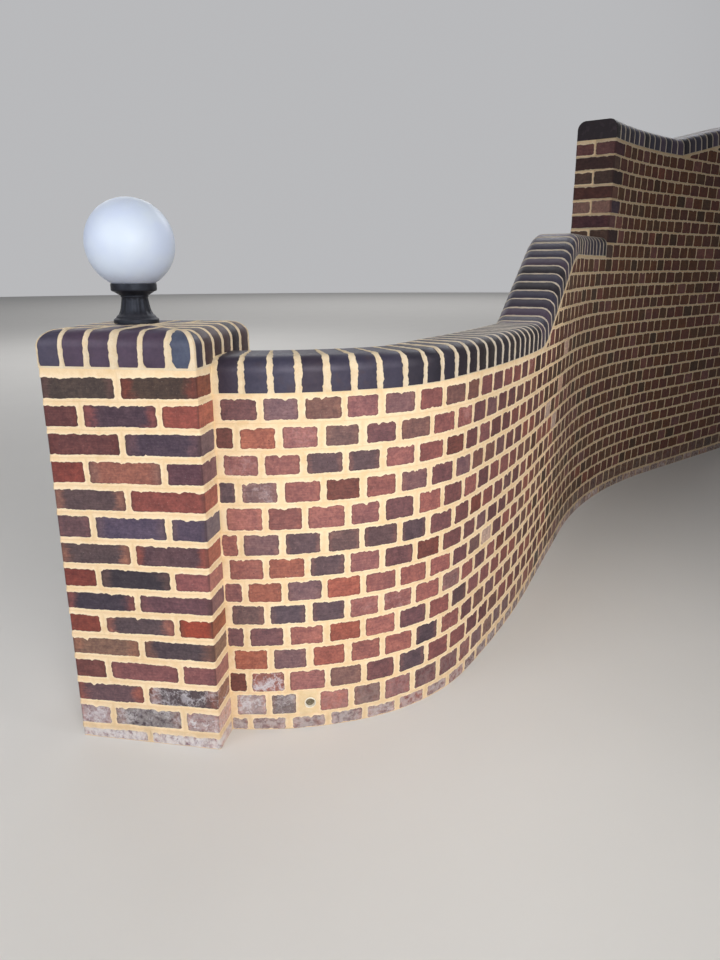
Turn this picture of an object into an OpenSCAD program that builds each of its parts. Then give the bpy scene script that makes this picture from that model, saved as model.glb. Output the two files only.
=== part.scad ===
// Brick garden wall: a capped square pier carrying a globe lamp, a low
// curved wall that sweeps back from it, a swan-neck ramp up to a tall wall
// with a squared end, and a second ramp up to the squared far end.
// Millimetres. +X right along the pier's front face, the pier's front faces
// -Y, +Z up. The origin is the centre of the pier's base on the ground.

/* [Levels] */
// underside of the coping bricks on the low wall
low_z = 1055; // [900:5:1200]
// underside of the coping bricks above the first ramp
mid_z = 1430; // [1300:5:1600]
// underside of the coping bricks on the tall wall
tall_z = 2035; // [1800:5:2300]
// underside of the coping bricks above the second ramp
end_z = 2195; // [2100:5:2700]
// underside of the cap bricks on the pier
pier_z = 1122; // [1000:1:1300]

/* [Masonry] */
// side of the square pier, two brick lengths and a joint
pier_w = 440; // [330:5:560]
// thickness of the wall, one brick length
wall_t = 215; // [200:5:330]
// height of a brick laid on edge in the coping
edge_h = 98.5; // [90:0.5:115]
// radius of the rounded upper edges of the coping bricks
nose_r = 44; // [25:1:60]

/* [Plan of the wall] */
// where the wall's outer face leaves the pier's right-hand side, along Y
start_y = -116; // [-180:1:0]
// direction of the wall where it leaves the pier, degrees from +X
start_a = 5; // [0:1:20]
// radius of the first, gentle curve of the outer face
curve_a_r = 985; // [600:5:2000]
// angle turned by the first curve
curve_a_s = 23; // [5:0.5:40]
// radius of the second, tight curve of the outer face
curve_b_r = 695; // [500:5:1500]
// angle turned by the second curve
curve_b_s = 39.5; // [5:0.5:60]
// radius of the third, nearly straight curve of the outer face
curve_c_r = 5580; // [3000:10:9000]
// angle turned by the third curve
curve_c_s = 8; // [2:0.5:15]
// length of the first ramp on plan
ramp_w = 820; // [700:5:1000]
// radius of the returning curve of the outer face
curve_e_r = 3340; // [2000:10:6000]
// angle turned back between the first ramp and the tall wall's squared end
mid_s = 10.5; // [5:0.5:15]
// angle turned back along the tall wall
tall_s = 15.5; // [5:0.5:25]
// length of the level run beyond the second ramp
end_w = 600; // [300:5:1200]

/* [Ramps] */
// radius of the coping's underside at the foot and the crown of a ramp
ramp_r = 350; // [250:5:420]

/* [Lamp] */
// diameter of the opal globe
globe_d = 250; // [200:5:350]
// diameter of the lamp's foot on the cap
foot_d = 128; // [100:1:180]
// height of the lamp's flared stem, foot to collar
stem_h = 79; // [60:1:140]
// diameter of the collar that holds the globe
collar_d = 129; // [100:1:180]
// height of the collar
collar_h = 34; // [15:1:50]
// lamp centre along X
lamp_x = -66; // [-100:1:100]
// lamp centre along Y
lamp_y = 56; // [-100:1:100]

/* [Drain] */
// outer diameter of the weep pipe
pipe_d = 35; // [20:1:50]
// height of the weep pipe's centre
pipe_z = 86; // [60:1:200]
// how far the weep pipe stands out of the wall's face
pipe_out = 3; // [0:1:10]
// angle along the first curve at which the weep pipe comes through
pipe_a = 14; // [5:0.5:20]

/* [Hidden] */
$fn = 96;
eps = 0.01;

// directions of the wall's outer face at the ends of its parts
h1 = start_a + curve_a_s;
h2 = h1 + curve_b_s;
h3 = h2 + curve_c_s;
h4 = h3 - mid_s;
h5 = h4 - tall_s;

// end point of a left-hand or right-hand curve of the outer face
function left_end(p, r, a0, a1) = [p[0] + r*(sin(a1) - sin(a0)), p[1] + r*(cos(a0) - cos(a1))];
function right_end(p, r, a0, a1) = [p[0] + r*(sin(a0) - sin(a1)), p[1] + r*(cos(a1) - cos(a0))];
function ahead(p, l, a) = [p[0] + l*cos(a), p[1] + l*sin(a)];

p0 = [pier_w/2, start_y];
p1 = left_end(p0, curve_a_r, start_a, h1);
p2 = left_end(p1, curve_b_r, h1, h2);
p3 = left_end(p2, curve_c_r, h2, h3);
p4 = ahead(p3, ramp_w, h3);
p5 = right_end(p4, curve_e_r, h3, h4);
p6 = right_end(p5, curve_e_r, h4, h5);
p7 = ahead(p6, ramp_w, h5);

// centres of the curves
function left_centre(p, r, a) = [p[0] - r*sin(a), p[1] + r*cos(a)];
function right_centre(p, r, a) = [p[0] + r*sin(a), p[1] - r*cos(a)];
c_a = left_centre(p0, curve_a_r, start_a);
c_b = left_centre(p1, curve_b_r, h1);
c_c = left_centre(p2, curve_c_r, h2);
c_e = right_centre(p4, curve_e_r, h3);

// slope of a ramp between its two arcs, for a given rise
function slope(rise) = asin(2*ramp_r/sqrt(ramp_w*ramp_w + pow(rise - 2*ramp_r, 2))) + atan2(rise - 2*ramp_r, ramp_w);

mid_c = curve_c_s/2;
mid_t = tall_s/2;

// ---- sections -------------------------------------------------------------

// section of the coping, lower left corner at [0, 0], both upper edges rounded
module coping_2d() {
    square([wall_t, edge_h - nose_r]);
    translate([nose_r, 0]) square([wall_t - 2*nose_r, edge_h]);
    translate([nose_r, edge_h - nose_r]) circle(r = nose_r);
    translate([wall_t - nose_r, edge_h - nose_r]) circle(r = nose_r);
}

// ---- parts of a curved wall -----------------------------------------------

// a block of the wall on a left-hand curve: the outer face is at radius r
module left_block(c, r, a0, a1, z0, z1)
    translate([c[0], c[1], z0]) rotate([0, 0, a0 - 90])
        rotate_extrude(angle = a1 - a0) translate([r - wall_t, 0]) square([wall_t, z1 - z0]);

module right_block(c, r, a0, a1, z0, z1)
    translate([c[0], c[1], z0]) rotate([0, 0, a1 + 90])
        rotate_extrude(angle = a0 - a1) translate([r, 0]) square([wall_t, z1 - z0]);

module left_coping(c, r, a0, a1, z0)
    translate([c[0], c[1], z0]) rotate([0, 0, a0 - 90])
        rotate_extrude(angle = a1 - a0) translate([r - wall_t, 0]) coping_2d();

module right_coping(c, r, a0, a1, z0)
    translate([c[0], c[1], z0]) rotate([0, 0, a1 + 90])
        rotate_extrude(angle = a0 - a1) translate([r, 0]) coping_2d();

// places a straight part: local X along the wall, local Y into the wall
module along(p, a) translate([p[0], p[1], 0]) rotate([0, 0, a]) children();

// the brickwork under a ramp, from the ground up to the curved underside
module ramp_block(z0, z1) {
    t = slope(z1 - z0);
    xa = ramp_r*sin(t);
    za = z0 + ramp_r*(1 - cos(t));
    xb = ramp_w - xa;
    zb = z1 - ramp_r*(1 - cos(t));
    translate([0, wall_t, 0]) rotate([90, 0, 0]) linear_extrude(height = wall_t) {
        difference() {
            square([xa, za]);
            translate([0, z0 + ramp_r]) circle(r = ramp_r);
        }
        polygon([[xa, 0], [xb, 0], [xb, zb], [xa, za]]);
        translate([xb, 0]) square([ramp_w - xb, z1 - ramp_r]);
        intersection() {
            translate([xb, z1 - ramp_r]) square([ramp_w - xb, ramp_r]);
            translate([ramp_w, z1 - ramp_r]) circle(r = ramp_r);
        }
    }
}

// coping at the foot of a ramp, curving up
module ramp_foot(z0, z1) {
    t = slope(z1 - z0);
    // turned about the axis above the foot
    translate([0, 0, z0 + ramp_r]) rotate([-90, 0, 0]) rotate([0, 0, 90 - t])
        rotate_extrude(angle = t) translate([ramp_r, 0]) rotate([0, 0, 90]) coping_2d();
}

// straight coping on the slope of a ramp
module ramp_slope(z0, z1) {
    t = slope(z1 - z0);
    xa = ramp_r*sin(t);
    za = z0 + ramp_r*(1 - cos(t));
    len = (ramp_w - 2*xa)/cos(t);
    translate([xa, 0, za]) rotate([0, -t, 0]) rotate([90, 0, 90]) linear_extrude(height = len) coping_2d();
}

// coping at the crown of a ramp, curving back to level
module ramp_crown(z0, z1) {
    t = slope(z1 - z0);
    translate([ramp_w, 0, z1 - ramp_r]) rotate([90, 0, 0]) rotate([0, 0, 90])
        rotate_extrude(angle = t) translate([ramp_r, 0]) rotate([0, 0, -90]) coping_2d();
}

// ---- pier -----------------------------------------------------------------

module pier_shaft() color([0.42, 0.22, 0.2])
    translate([-pier_w/2, -pier_w/2, 0]) cube([pier_w, pier_w, pier_z]);

// one mitred side of the cap: bricks on edge with a rounded outer edge
module cap_side(a) color([0.2, 0.2, 0.27]) rotate([0, 0, a])
    intersection() {
        translate([-pier_w/2, -pier_w/2, pier_z]) rotate([90, 0, 90]) linear_extrude(height = pier_w) {
            square([pier_w/2, edge_h - nose_r]);
            translate([nose_r, 0]) square([pier_w/2 - nose_r, edge_h]);
            translate([nose_r, edge_h - nose_r]) circle(r = nose_r);
        }
        translate([0, 0, pier_z - 1]) linear_extrude(height = edge_h + 2)
            polygon([[0, 0], [-pier_w/2 - 1, -pier_w/2 - 1], [pier_w/2 + 1, -pier_w/2 - 1]]);
    }

module pier_cap_front() cap_side(0);
module pier_cap_right() cap_side(90);
module pier_cap_back() cap_side(180);
module pier_cap_left() cap_side(270);

// ---- lamp -----------------------------------------------------------------

lamp_z = pier_z + edge_h;
globe_r = globe_d/2;
// the globe sinks into the collar until it meets it 3 mm inside the collar's edge
globe_c = lamp_z + stem_h + collar_h + sqrt(globe_r*globe_r - pow(collar_d/2 - 3, 2));

module lamp_stem() color([0.08, 0.08, 0.09]) translate([lamp_x, lamp_y, lamp_z])
    rotate_extrude() polygon([[0, 0], [foot_d/2, 0], [foot_d/2, 12], [foot_d/2 - 9, 20], [foot_d/2 - 18, 30],
        [42, 42], [39, 54], [37, 66], [37, stem_h], [0, stem_h]]);

module lamp_collar() color([0.08, 0.08, 0.09]) translate([lamp_x, lamp_y, lamp_z + stem_h])
    difference() {
        rotate_extrude() polygon([[0, 0], [39, 0], [collar_d/2 - 7, 11], [collar_d/2, 14], [collar_d/2, collar_h], [0, collar_h]]);
        translate([0, 0, globe_c - lamp_z - stem_h]) sphere(r = globe_r);
    }

module lamp_globe() color([0.92, 0.93, 0.98]) translate([lamp_x, lamp_y, globe_c]) sphere(r = globe_r);

// ---- low wall -------------------------------------------------------------

brick = [0.45, 0.25, 0.22];
blue = [0.2, 0.2, 0.27];

pipe_dir = start_a + pipe_a - 90;

// a bar through the first curve at the weep pipe, standing out by the given
// lengths in front of and behind the wall
module weep_bar(r, front, back)
    translate([c_a[0], c_a[1], pipe_z]) rotate([0, 0, pipe_dir]) translate([curve_a_r - wall_t - back, 0, 0])
        rotate([0, 90, 0]) cylinder(r = r, h = wall_t + front + back);

// what the pier already fills where the wall runs into its side
module pier_room() translate([-pier_w/2, -pier_w/2, -10]) cube([pier_w, pier_w, pier_z + 200]);

module low_wall_a() color(brick) difference() {
    left_block(c_a, curve_a_r, start_a, h1, 0, low_z);
    weep_bar(pipe_d/2, 20, 20);
    pier_room();
}
module low_wall_b() color(brick) left_block(c_b, curve_b_r, h1, h2, 0, low_z);
module low_wall_c() color(brick) left_block(c_c, curve_c_r, h2, h2 + mid_c, 0, low_z);
module low_wall_d() color(brick) left_block(c_c, curve_c_r, h2 + mid_c, h3, 0, low_z);
module weep_pipe() color([0.85, 0.84, 0.8]) difference() {
    weep_bar(pipe_d/2, pipe_out, 0);
    weep_bar(pipe_d/2 - 2.5, 20, 20);
}

module low_coping_a() color(blue) difference() {
    left_coping(c_a, curve_a_r, start_a, h1, low_z);
    pier_room();
}
module low_coping_b() color(blue) left_coping(c_b, curve_b_r, h1, h2, low_z);
module low_coping_c() color(blue) left_coping(c_c, curve_c_r, h2, h2 + mid_c, low_z);
module low_coping_d() color(blue) left_coping(c_c, curve_c_r, h2 + mid_c, h3, low_z);

// ---- first ramp and the level run above it --------------------------------

module ramp_wall() color(brick) along(p3, h3) ramp_block(low_z, mid_z);
module ramp_coping_foot() color(blue) along(p3, h3) ramp_foot(low_z, mid_z);
module ramp_coping_slope() color(blue) along(p3, h3) ramp_slope(low_z, mid_z);
module ramp_coping_crown() color(blue) along(p3, h3) ramp_crown(low_z, mid_z);
module mid_wall() color(brick) right_block(c_e, curve_e_r, h3, h4, 0, mid_z);
module mid_coping() color(blue) right_coping(c_e, curve_e_r, h3, h4, mid_z);

// ---- tall wall ------------------------------------------------------------

module tall_wall_a() color(brick) right_block(c_e, curve_e_r, h4, h4 - mid_t, 0, tall_z);
module tall_wall_b() color(brick) right_block(c_e, curve_e_r, h4 - mid_t, h5, 0, tall_z);
module tall_coping_a() color(blue) right_coping(c_e, curve_e_r, h4, h4 - mid_t, tall_z);
module tall_coping_b() color(blue) right_coping(c_e, curve_e_r, h4 - mid_t, h5, tall_z);

// ---- second ramp and the squared far end ----------------------------------

module high_ramp_wall() color(brick) along(p6, h5) ramp_block(tall_z, end_z);
module high_coping_foot() color(blue) along(p6, h5) ramp_foot(tall_z, end_z);
module high_coping_slope() color(blue) along(p6, h5) ramp_slope(tall_z, end_z);
module high_coping_crown() color(blue) along(p6, h5) ramp_crown(tall_z, end_z);
module end_wall() color(brick) along(p7, h5) cube([end_w, wall_t, end_z]);
module end_coping() color(blue) along(p7, h5) translate([0, 0, end_z]) rotate([90, 0, 90])
    linear_extrude(height = end_w) coping_2d();

pier_shaft();
pier_cap_front();
pier_cap_right();
pier_cap_back();
pier_cap_left();
lamp_stem();
lamp_collar();
lamp_globe();
low_wall_a();
low_wall_b();
low_wall_c();
low_wall_d();
weep_pipe();
low_coping_a();
low_coping_b();
low_coping_c();
low_coping_d();
ramp_wall();
ramp_coping_foot();
ramp_coping_slope();
ramp_coping_crown();
mid_wall();
mid_coping();
tall_wall_a();
tall_wall_b();
tall_coping_a();
tall_coping_b();
high_ramp_wall();
high_coping_foot();
high_coping_slope();
high_coping_crown();
end_wall();
end_coping();
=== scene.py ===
# Brick garden wall: every brick, every joint and every coping brick is laid in
# code along the wall's plan. Lengths are in millimetres until the meshes are
# made, which are in metres in the shared frame.
import math

import bpy
import numpy as np
from mathutils import Matrix


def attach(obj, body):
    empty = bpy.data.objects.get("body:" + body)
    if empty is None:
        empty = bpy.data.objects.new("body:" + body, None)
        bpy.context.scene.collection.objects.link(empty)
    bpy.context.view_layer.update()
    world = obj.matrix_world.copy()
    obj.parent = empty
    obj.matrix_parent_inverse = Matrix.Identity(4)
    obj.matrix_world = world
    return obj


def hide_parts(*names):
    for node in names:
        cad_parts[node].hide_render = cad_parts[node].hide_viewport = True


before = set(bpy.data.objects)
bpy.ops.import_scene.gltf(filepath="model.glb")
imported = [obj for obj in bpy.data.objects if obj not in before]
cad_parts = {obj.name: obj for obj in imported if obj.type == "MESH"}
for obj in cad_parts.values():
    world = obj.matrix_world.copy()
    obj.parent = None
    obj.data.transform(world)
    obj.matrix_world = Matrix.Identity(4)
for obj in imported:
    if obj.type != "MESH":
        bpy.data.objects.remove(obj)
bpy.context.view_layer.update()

RAD = math.radians

# ---- sizes shared with the construction -------------------------------------
LOW, MID, TALL, END = 1055.0, 1430.0, 2035.0, 2195.0   # undersides of the coping
PIER_Z, PIER_W, WALL_T, EDGE_H, NOSE = 1122.0, 440.0, 215.0, 98.5, 44.0
RAMP_R, RAMP_W = 350.0, 820.0
C_R = 8.0                                              # worn radius of a brick's corner
C_P = 6.0                                              # the same on the pier
SEG_A, SEG_B, SEG_C = 985 * RAD(23), 695 * RAD(39.5), 5580 * RAD(8)
SEG_M, SEG_T, SEG_E = 3340 * RAD(10.5), 3340 * RAD(15.5), 600.0
ST_B = SEG_A
ST_C = ST_B + SEG_B
ST_R1 = ST_C + SEG_C
ST_M = ST_R1 + RAMP_W
ST_T = ST_M + SEG_M
ST_R2 = ST_T + SEG_T
ST_E = ST_R2 + RAMP_W
ST_END = ST_E + SEG_E


def srgb(r, g, b):
    out = []
    for c in (r, g, b):
        c /= 255.0
        out.append(c / 12.92 if c <= 0.04045 else ((c + 0.055) / 1.055) ** 2.4)
    return out


# ---- repeatable noise ---------------------------------------------------------
def hashed(k, seed):
    k = (k.astype(np.int64) * 374761393 + int(seed) * 668265263) & 0x7FFFFFFF
    k = ((k ^ (k >> 13)) * 1274126177) & 0x7FFFFFFF
    return ((k ^ (k >> 16)) & 0xFFFF) / 32767.5 - 1.0


def wave(x, seed):
    """Smooth noise in -1..1 along x."""
    x = np.asarray(x, float)
    i = np.floor(x)
    f = x - i
    f = f * f * (3 - 2 * f)
    return hashed(i, seed) * (1 - f) + hashed(i + 1, seed) * f


def wave2(x, y, seed):
    x, y = np.broadcast_arrays(np.asarray(x, float), np.asarray(y, float))
    j = np.floor(y)
    f = y - j
    f = f * f * (3 - 2 * f)
    i = np.floor(x)
    g = x - i
    g = g * g * (3 - 2 * g)

    def at(a, b):
        return hashed(a * 7919 + b * 104729, seed)

    return (at(i, j) * (1 - g) + at(i + 1, j) * g) * (1 - f) + (at(i, j + 1) * (1 - g) + at(i + 1, j + 1) * g) * f


def smooth(a, b, x):
    t = np.clip((np.asarray(x, float) - a) / (b - a), 0, 1)
    return t * t * (3 - 2 * t)


# ---- plan paths: the masonry lies to the left, faces look to the right ---------
class Path:
    def __init__(self, x, y, heading, segs, closed=False, corner=C_R):
        self.rows, s, h = [], 0.0, RAD(heading)
        self.corner = corner
        for length, radius, st0, st1 in segs:
            self.rows.append((s, x, y, h, radius, st0, st1, length))
            if radius == 0:
                x, y = x + length * math.cos(h), y + length * math.sin(h)
            else:
                h2 = h + length / radius
                x, y = x + radius * (math.sin(h2) - math.sin(h)), y + radius * (math.cos(h) - math.cos(h2))
                h = h2
            s += length
        self.length, self.closed = s, closed
        self.a = np.array(self.rows)

    def at(self, s):
        """x, y, heading, station and radius at the lengths s."""
        s = np.atleast_1d(np.asarray(s, float))
        if self.closed:
            s = np.mod(s, self.length)
        k = np.clip(np.searchsorted(self.a[:, 0], s, side="right") - 1, 0, len(self.a) - 1)
        r = self.a[k]
        d = s - r[:, 0]
        bent = r[:, 4] != 0
        rad = np.where(bent, r[:, 4], 1.0)
        h = r[:, 3] + np.where(bent, d / rad, 0.0)
        x = r[:, 1] + np.where(bent, rad * (np.sin(h) - np.sin(r[:, 3])), d * np.cos(r[:, 3]))
        y = r[:, 2] + np.where(bent, rad * (np.cos(r[:, 3]) - np.cos(h)), d * np.sin(r[:, 3]))
        st = r[:, 5] + (r[:, 6] - r[:, 5]) * d / r[:, 7]
        return x, y, h, st, r[:, 4]

    def place(self, s, z, off):
        x, y, h, _, _ = self.at(s)
        return np.stack([x + np.sin(h) * off, y - np.cos(h) * off, np.broadcast_to(z, x.shape)], 1)


CORNER = C_R * math.pi / 2
X0, Y0 = PIER_W / 2, -116.0
OUTER = [(SEG_A, 985.0, 0, ST_B), (SEG_B, 695.0, ST_B, ST_C), (SEG_C, 5580.0, ST_C, ST_R1), (RAMP_W, 0, ST_R1, ST_M),
         (SEG_M + SEG_T, -3340.0, ST_M, ST_R2), (RAMP_W, 0, ST_R2, ST_E), (SEG_E, 0, ST_E, ST_END)]
plan = Path(X0, Y0, 5, OUTER)
TRIM = 18.9
INNER = [(SEG_E - C_R, 0, ST_END, ST_E), (RAMP_W, 0, ST_E, ST_R2), (3555 * RAD(26), 3555.0, ST_R2, ST_M), (RAMP_W, 0, ST_M, ST_R1),
         (5365 * RAD(8), -5365.0, ST_R1, ST_C), (480 * RAD(39.5), -480.0, ST_C, ST_B), (770 * RAD(23) - TRIM, -770.0, ST_B, 19.0)]
low_path = Path(X0, Y0, 5, OUTER[:-1] + [(SEG_E - C_R, 0, ST_E, ST_END), (CORNER, C_R, ST_END, ST_END),
                                          (WALL_T - 2 * C_R, 0, ST_END, ST_END), (CORNER, C_R, ST_END, ST_END)] + INNER)
_x, _y, _h, _, _ = plan.at(ST_T)
_h = math.degrees(_h[0])
_half = WALL_T / 2
_sx, _sy = _x[0] - _half * math.sin(RAD(_h)), _y[0] + _half * math.cos(RAD(_h))
top_path = Path(_sx, _sy, _h - 90, [
    (_half - C_R, 0, ST_T, ST_T), (CORNER, C_R, ST_T, ST_T), (SEG_T - C_R, -3340.0, ST_T, ST_R2), (RAMP_W, 0, ST_R2, ST_E),
    (SEG_E - C_R, 0, ST_E, ST_END), (CORNER, C_R, ST_END, ST_END), (WALL_T - 2 * C_R, 0, ST_END, ST_END),
    (CORNER, C_R, ST_END, ST_END), (SEG_E - C_R, 0, ST_END, ST_E), (RAMP_W, 0, ST_E, ST_R2),
    (3555 * RAD(15.5) - C_R, 3555.0, ST_R2, ST_T), (CORNER, C_R, ST_T, ST_T), (_half - C_R, 0, ST_T, ST_T)], closed=True)
pier_path = Path(-PIER_W / 2 + C_P, -PIER_W / 2, 0, [
    seg for k in range(4) for seg in ((PIER_W - 2 * C_P, 0, -1, -1), (C_P * math.pi / 2, C_P, -1, -1))], closed=True, corner=C_P)


def corners_of(path):
    """Starts of the small corner arcs along a path."""
    return [r[0] for r in path.rows if r[4] == path.corner]


# ---- levels --------------------------------------------------------------------
def slope_of(z0, z1):
    rise = z1 - z0 - 2 * RAMP_R
    return math.asin(2 * RAMP_R / math.hypot(RAMP_W, rise)) + math.atan2(rise, RAMP_W)


def ramp_line(x, z0, z1):
    """Height of the coping's underside x along a ramp."""
    t = slope_of(z0, z1)
    xa, dz = RAMP_R * math.sin(t), RAMP_R * (1 - math.cos(t))
    x = np.asarray(x, float)
    foot = z0 + RAMP_R - np.sqrt(np.maximum(RAMP_R ** 2 - np.clip(x, 0, xa) ** 2, 0))
    crown = z1 - RAMP_R + np.sqrt(np.maximum(RAMP_R ** 2 - np.clip(RAMP_W - x, 0, xa) ** 2, 0))
    line = z0 + dz + (x - xa) * math.tan(t)
    return np.where(x < xa, foot, np.where(x > RAMP_W - xa, crown, line))


def dip(st):
    """How far the low coping has sunk towards the pier."""
    return 9.0 * (1 - smooth(560, 860, st))


def underside(st):
    st = np.asarray(st, float)
    return np.select(
        [st < 900, st < ST_R1, st < ST_M, st < ST_T - 0.01, st < ST_R2, st < ST_E],
        [LOW - dip(st), LOW, ramp_line(st - ST_R1, LOW, MID), MID, TALL, ramp_line(st - ST_R2, TALL, END)], END)


# how far each bed joint lies below an even 75 mm gauge, from the top down
SAG = {-13: -6, -12: -9, -11: -10, -10: -9, -9: -9, -8: -8, -7: -7, -6: -2, -5: 2, -4: 2.5, -3: 3.5, -2: 2.5, -1: 0, 0: 3,
       1: 6, 2: 9, 3: 13, 4: 16, 5: 21, 6: 22, 7: 20, 8: 17, 9: 15, 10: 13, 11: 14, 12: 16, 13: 22}


def bed(j, s, tilt=0.0):
    """Centre height of bed joint j (0 lies under the low coping)."""
    s = np.asarray(s, float)
    if j >= 14:
        return np.zeros_like(s)
    z = 1045 - 75 * j - SAG[j] if j >= -13 else 2026 + 76.5 * (-13 - j)
    return z + 1.3 * wave(s / 410, 31 + j) + 0.7 * wave(s / 95, 91 + j) + tilt


# ---- mesh collector -------------------------------------------------------------
BRICK, MORTAR, COPING = 0, 1, 2


class Build:
    def __init__(self):
        self.v, self.kn, self.kl, self.kc, self.kd, self.uv = [], [], [], [], [], []
        self.n, self.quads, self.gons = 0, [], []

    def add(self, pos, uv, kn=(0, 0, 0), kl=(0, 0, 0), kc=(1, 1, 1, 0), kd=(1, 1, 1, 0), chart="a"):
        m = len(pos)
        self.v.append(pos)
        for store, val, w in ((self.kn, kn, 3), (self.kl, kl, 3), (self.kc, kc, 4), (self.kd, kd, 4)):
            store.append(np.broadcast_to(np.asarray(val, float), (m, w)))
        self.uv.append((chart, np.broadcast_to(np.asarray(uv, float), (m, 2))))
        self.n += m
        return self.n - m

    def quad(self, q, mat, soft):
        self.quads.append((np.asarray(q, np.int64).reshape(-1, 4), mat, soft))

    def gon(self, idx, mat, soft=False):
        self.gons.append((list(map(int, idx)), mat, soft))

    def finish(self, name, mats):
        v = np.concatenate(self.v) / 1000.0
        q = np.concatenate([a for a, _, _ in self.quads]) if self.quads else np.zeros((0, 4), int)
        qm = np.concatenate([np.full(len(a), m) for a, m, _ in self.quads]) if self.quads else np.zeros(0, int)
        qs = np.concatenate([np.full(len(a), s) for a, _, s in self.quads]) if self.quads else np.zeros(0, bool)
        faces = q.tolist() + [g for g, _, _ in self.gons]
        fm = np.concatenate([qm, [m for _, m, _ in self.gons]]).astype(np.int32)
        fs = np.concatenate([qs, [s for _, _, s in self.gons]]).astype(bool)
        me = bpy.data.meshes.new(name)
        me.from_pydata(v.tolist(), [], faces)
        used = sorted(set(fm.tolist()))
        for m in used:
            me.materials.append(mats[m])
        remap = np.zeros(8, np.int32)
        for i, m in enumerate(used):
            remap[m] = i
        me.polygons.foreach_set("material_index", remap[fm])
        me.polygons.foreach_set("use_smooth", fs)
        for key, store, kind, w in (("kn", self.kn, "FLOAT_VECTOR", 3), ("kl", self.kl, "FLOAT_VECTOR", 3),
                                    ("kc", self.kc, "FLOAT_COLOR", 4), ("kd", self.kd, "FLOAT_COLOR", 4)):
            at = me.attributes.new(key, kind, "POINT")
            at.data.foreach_set("vector" if w == 3 else "color", np.concatenate(store).astype(np.float32).ravel())
        # one flat chart per face of the piece, side by side
        lo, hi = {}, {}
        for c, a in self.uv:
            l, h = a.min(0), a.max(0)
            lo[c] = np.minimum(lo[c], l) if c in lo else l
            hi[c] = np.maximum(hi[c], h) if c in hi else h
        at_x, place, tall = 0.0, {}, 0.0
        for c in sorted(lo):
            place[c] = at_x
            at_x += hi[c][0] - lo[c][0] + 14.0
            tall = max(tall, hi[c][1] - lo[c][1])
        k = 0.98 / max(at_x, tall + 14.0)
        uv = np.concatenate([(a - lo[c] + np.array([place[c], 0.0])) * k + 0.01 for c, a in self.uv])
        layer = me.uv_layers.new(name="OFBake")
        li = np.zeros(len(me.loops), np.int32)
        me.loops.foreach_get("vertex_index", li)
        layer.data.foreach_set("uv", uv[li].astype(np.float32).ravel())
        me.update()
        ob = bpy.data.objects.new(name, me)
        bpy.context.scene.collection.objects.link(ob)
        return ob


# ---- kinds of brick --------------------------------------------------------------
# (colour at the ends, colour in the middle, how far the middle is burnt, lime and salts)
KIND = {
    "red": (srgb(142, 80, 73), srgb(136, 76, 71), 0.3, 0.12),
    "rust": (srgb(112, 66, 57), srgb(106, 62, 56), 0.4, 0.08),
    "rose": (srgb(139, 88, 88), srgb(131, 84, 88), 0.4, 0.22),
    "orange": (srgb(141, 85, 78), srgb(134, 80, 76), 0.2, 0.12),
    "purple": (srgb(130, 82, 84), srgb(118, 78, 84), 0.5, 0.12),
    "maroon": (srgb(106, 62, 60), srgb(106, 68, 68), 0.6, 0.05),
    "mauve": (srgb(116, 84, 90), srgb(104, 80, 92), 0.6, 0.12),
    "brown": (srgb(119, 85, 84), srgb(109, 81, 83), 0.6, 0.16),
    "plum": (srgb(108, 72, 78), srgb(96, 68, 78), 0.5, 0.06),
    "grey": (srgb(112, 80, 82), srgb(96, 75, 80), 0.7, 0.12),
    "blue": (srgb(100, 74, 80), srgb(76, 63, 75), 0.9, 0.06),
    "umber": (srgb(100, 74, 68), srgb(78, 66, 60), 0.9, 0.03),
    "flash": (srgb(136, 86, 78), srgb(70, 63, 70), 1.0, 0.08),
    "halo": (srgb(142, 99, 86), srgb(80, 71, 76), 1.0, 0.1),
    "ember": (srgb(138, 100, 92), srgb(154, 98, 84), 0.9, 0.2),
    "black": (srgb(94, 77, 79), srgb(60, 57, 67), 1.0, 0.03),
    "inky": (srgb(124, 74, 74), srgb(60, 57, 70), 1.0, 0.03),
    "bright": (srgb(122, 68, 58), srgb(154, 69, 56), 1.0, 0.08),
    "brick": (srgb(126, 66, 60), srgb(124, 64, 58), 0.3, 0.08),
    "chalky": (srgb(136, 96, 98), srgb(112, 88, 94), 0.8, 0.36),
    "indigo": (srgb(98, 82, 94), srgb(82, 73, 94), 0.9, 0.08),
    "singed": (srgb(116, 66, 58), srgb(76, 66, 60), 1.0, 0.04),
    "wisp": (srgb(146, 86, 78), srgb(98, 75, 82), 1.0, 0.1),
    "ashy": (srgb(142, 98, 84), srgb(124, 96, 86), 0.9, 0.08),
    "frost": (srgb(122, 80, 74), srgb(80, 70, 76), 0.95, 0.55),
    "steel": (srgb(112, 82, 78), srgb(62, 60, 74), 1.0, 0.05),
    "salt": (srgb(164, 122, 122), srgb(142, 124, 130), 0.7, 1.1),
    "powder": (srgb(148, 90, 86), srgb(144, 96, 94), 0.5, 0.62),
    "rime": (srgb(112, 88, 90), srgb(88, 78, 88), 0.8, 0.8),
    "pale": (srgb(176, 148, 136), srgb(182, 156, 146), 0.5, 0.2),
    "dusk": (srgb(92, 61, 54), srgb(84, 58, 52), 0.5, 0.04),
    "night": (srgb(74, 54, 50), srgb(66, 52, 50), 0.8, 0.02),
    "bark": (srgb(86, 62, 56), srgb(78, 58, 54), 0.6, 0.05),
    "wine": (srgb(92, 58, 58), srgb(82, 56, 60), 0.5, 0.03),
}
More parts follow.
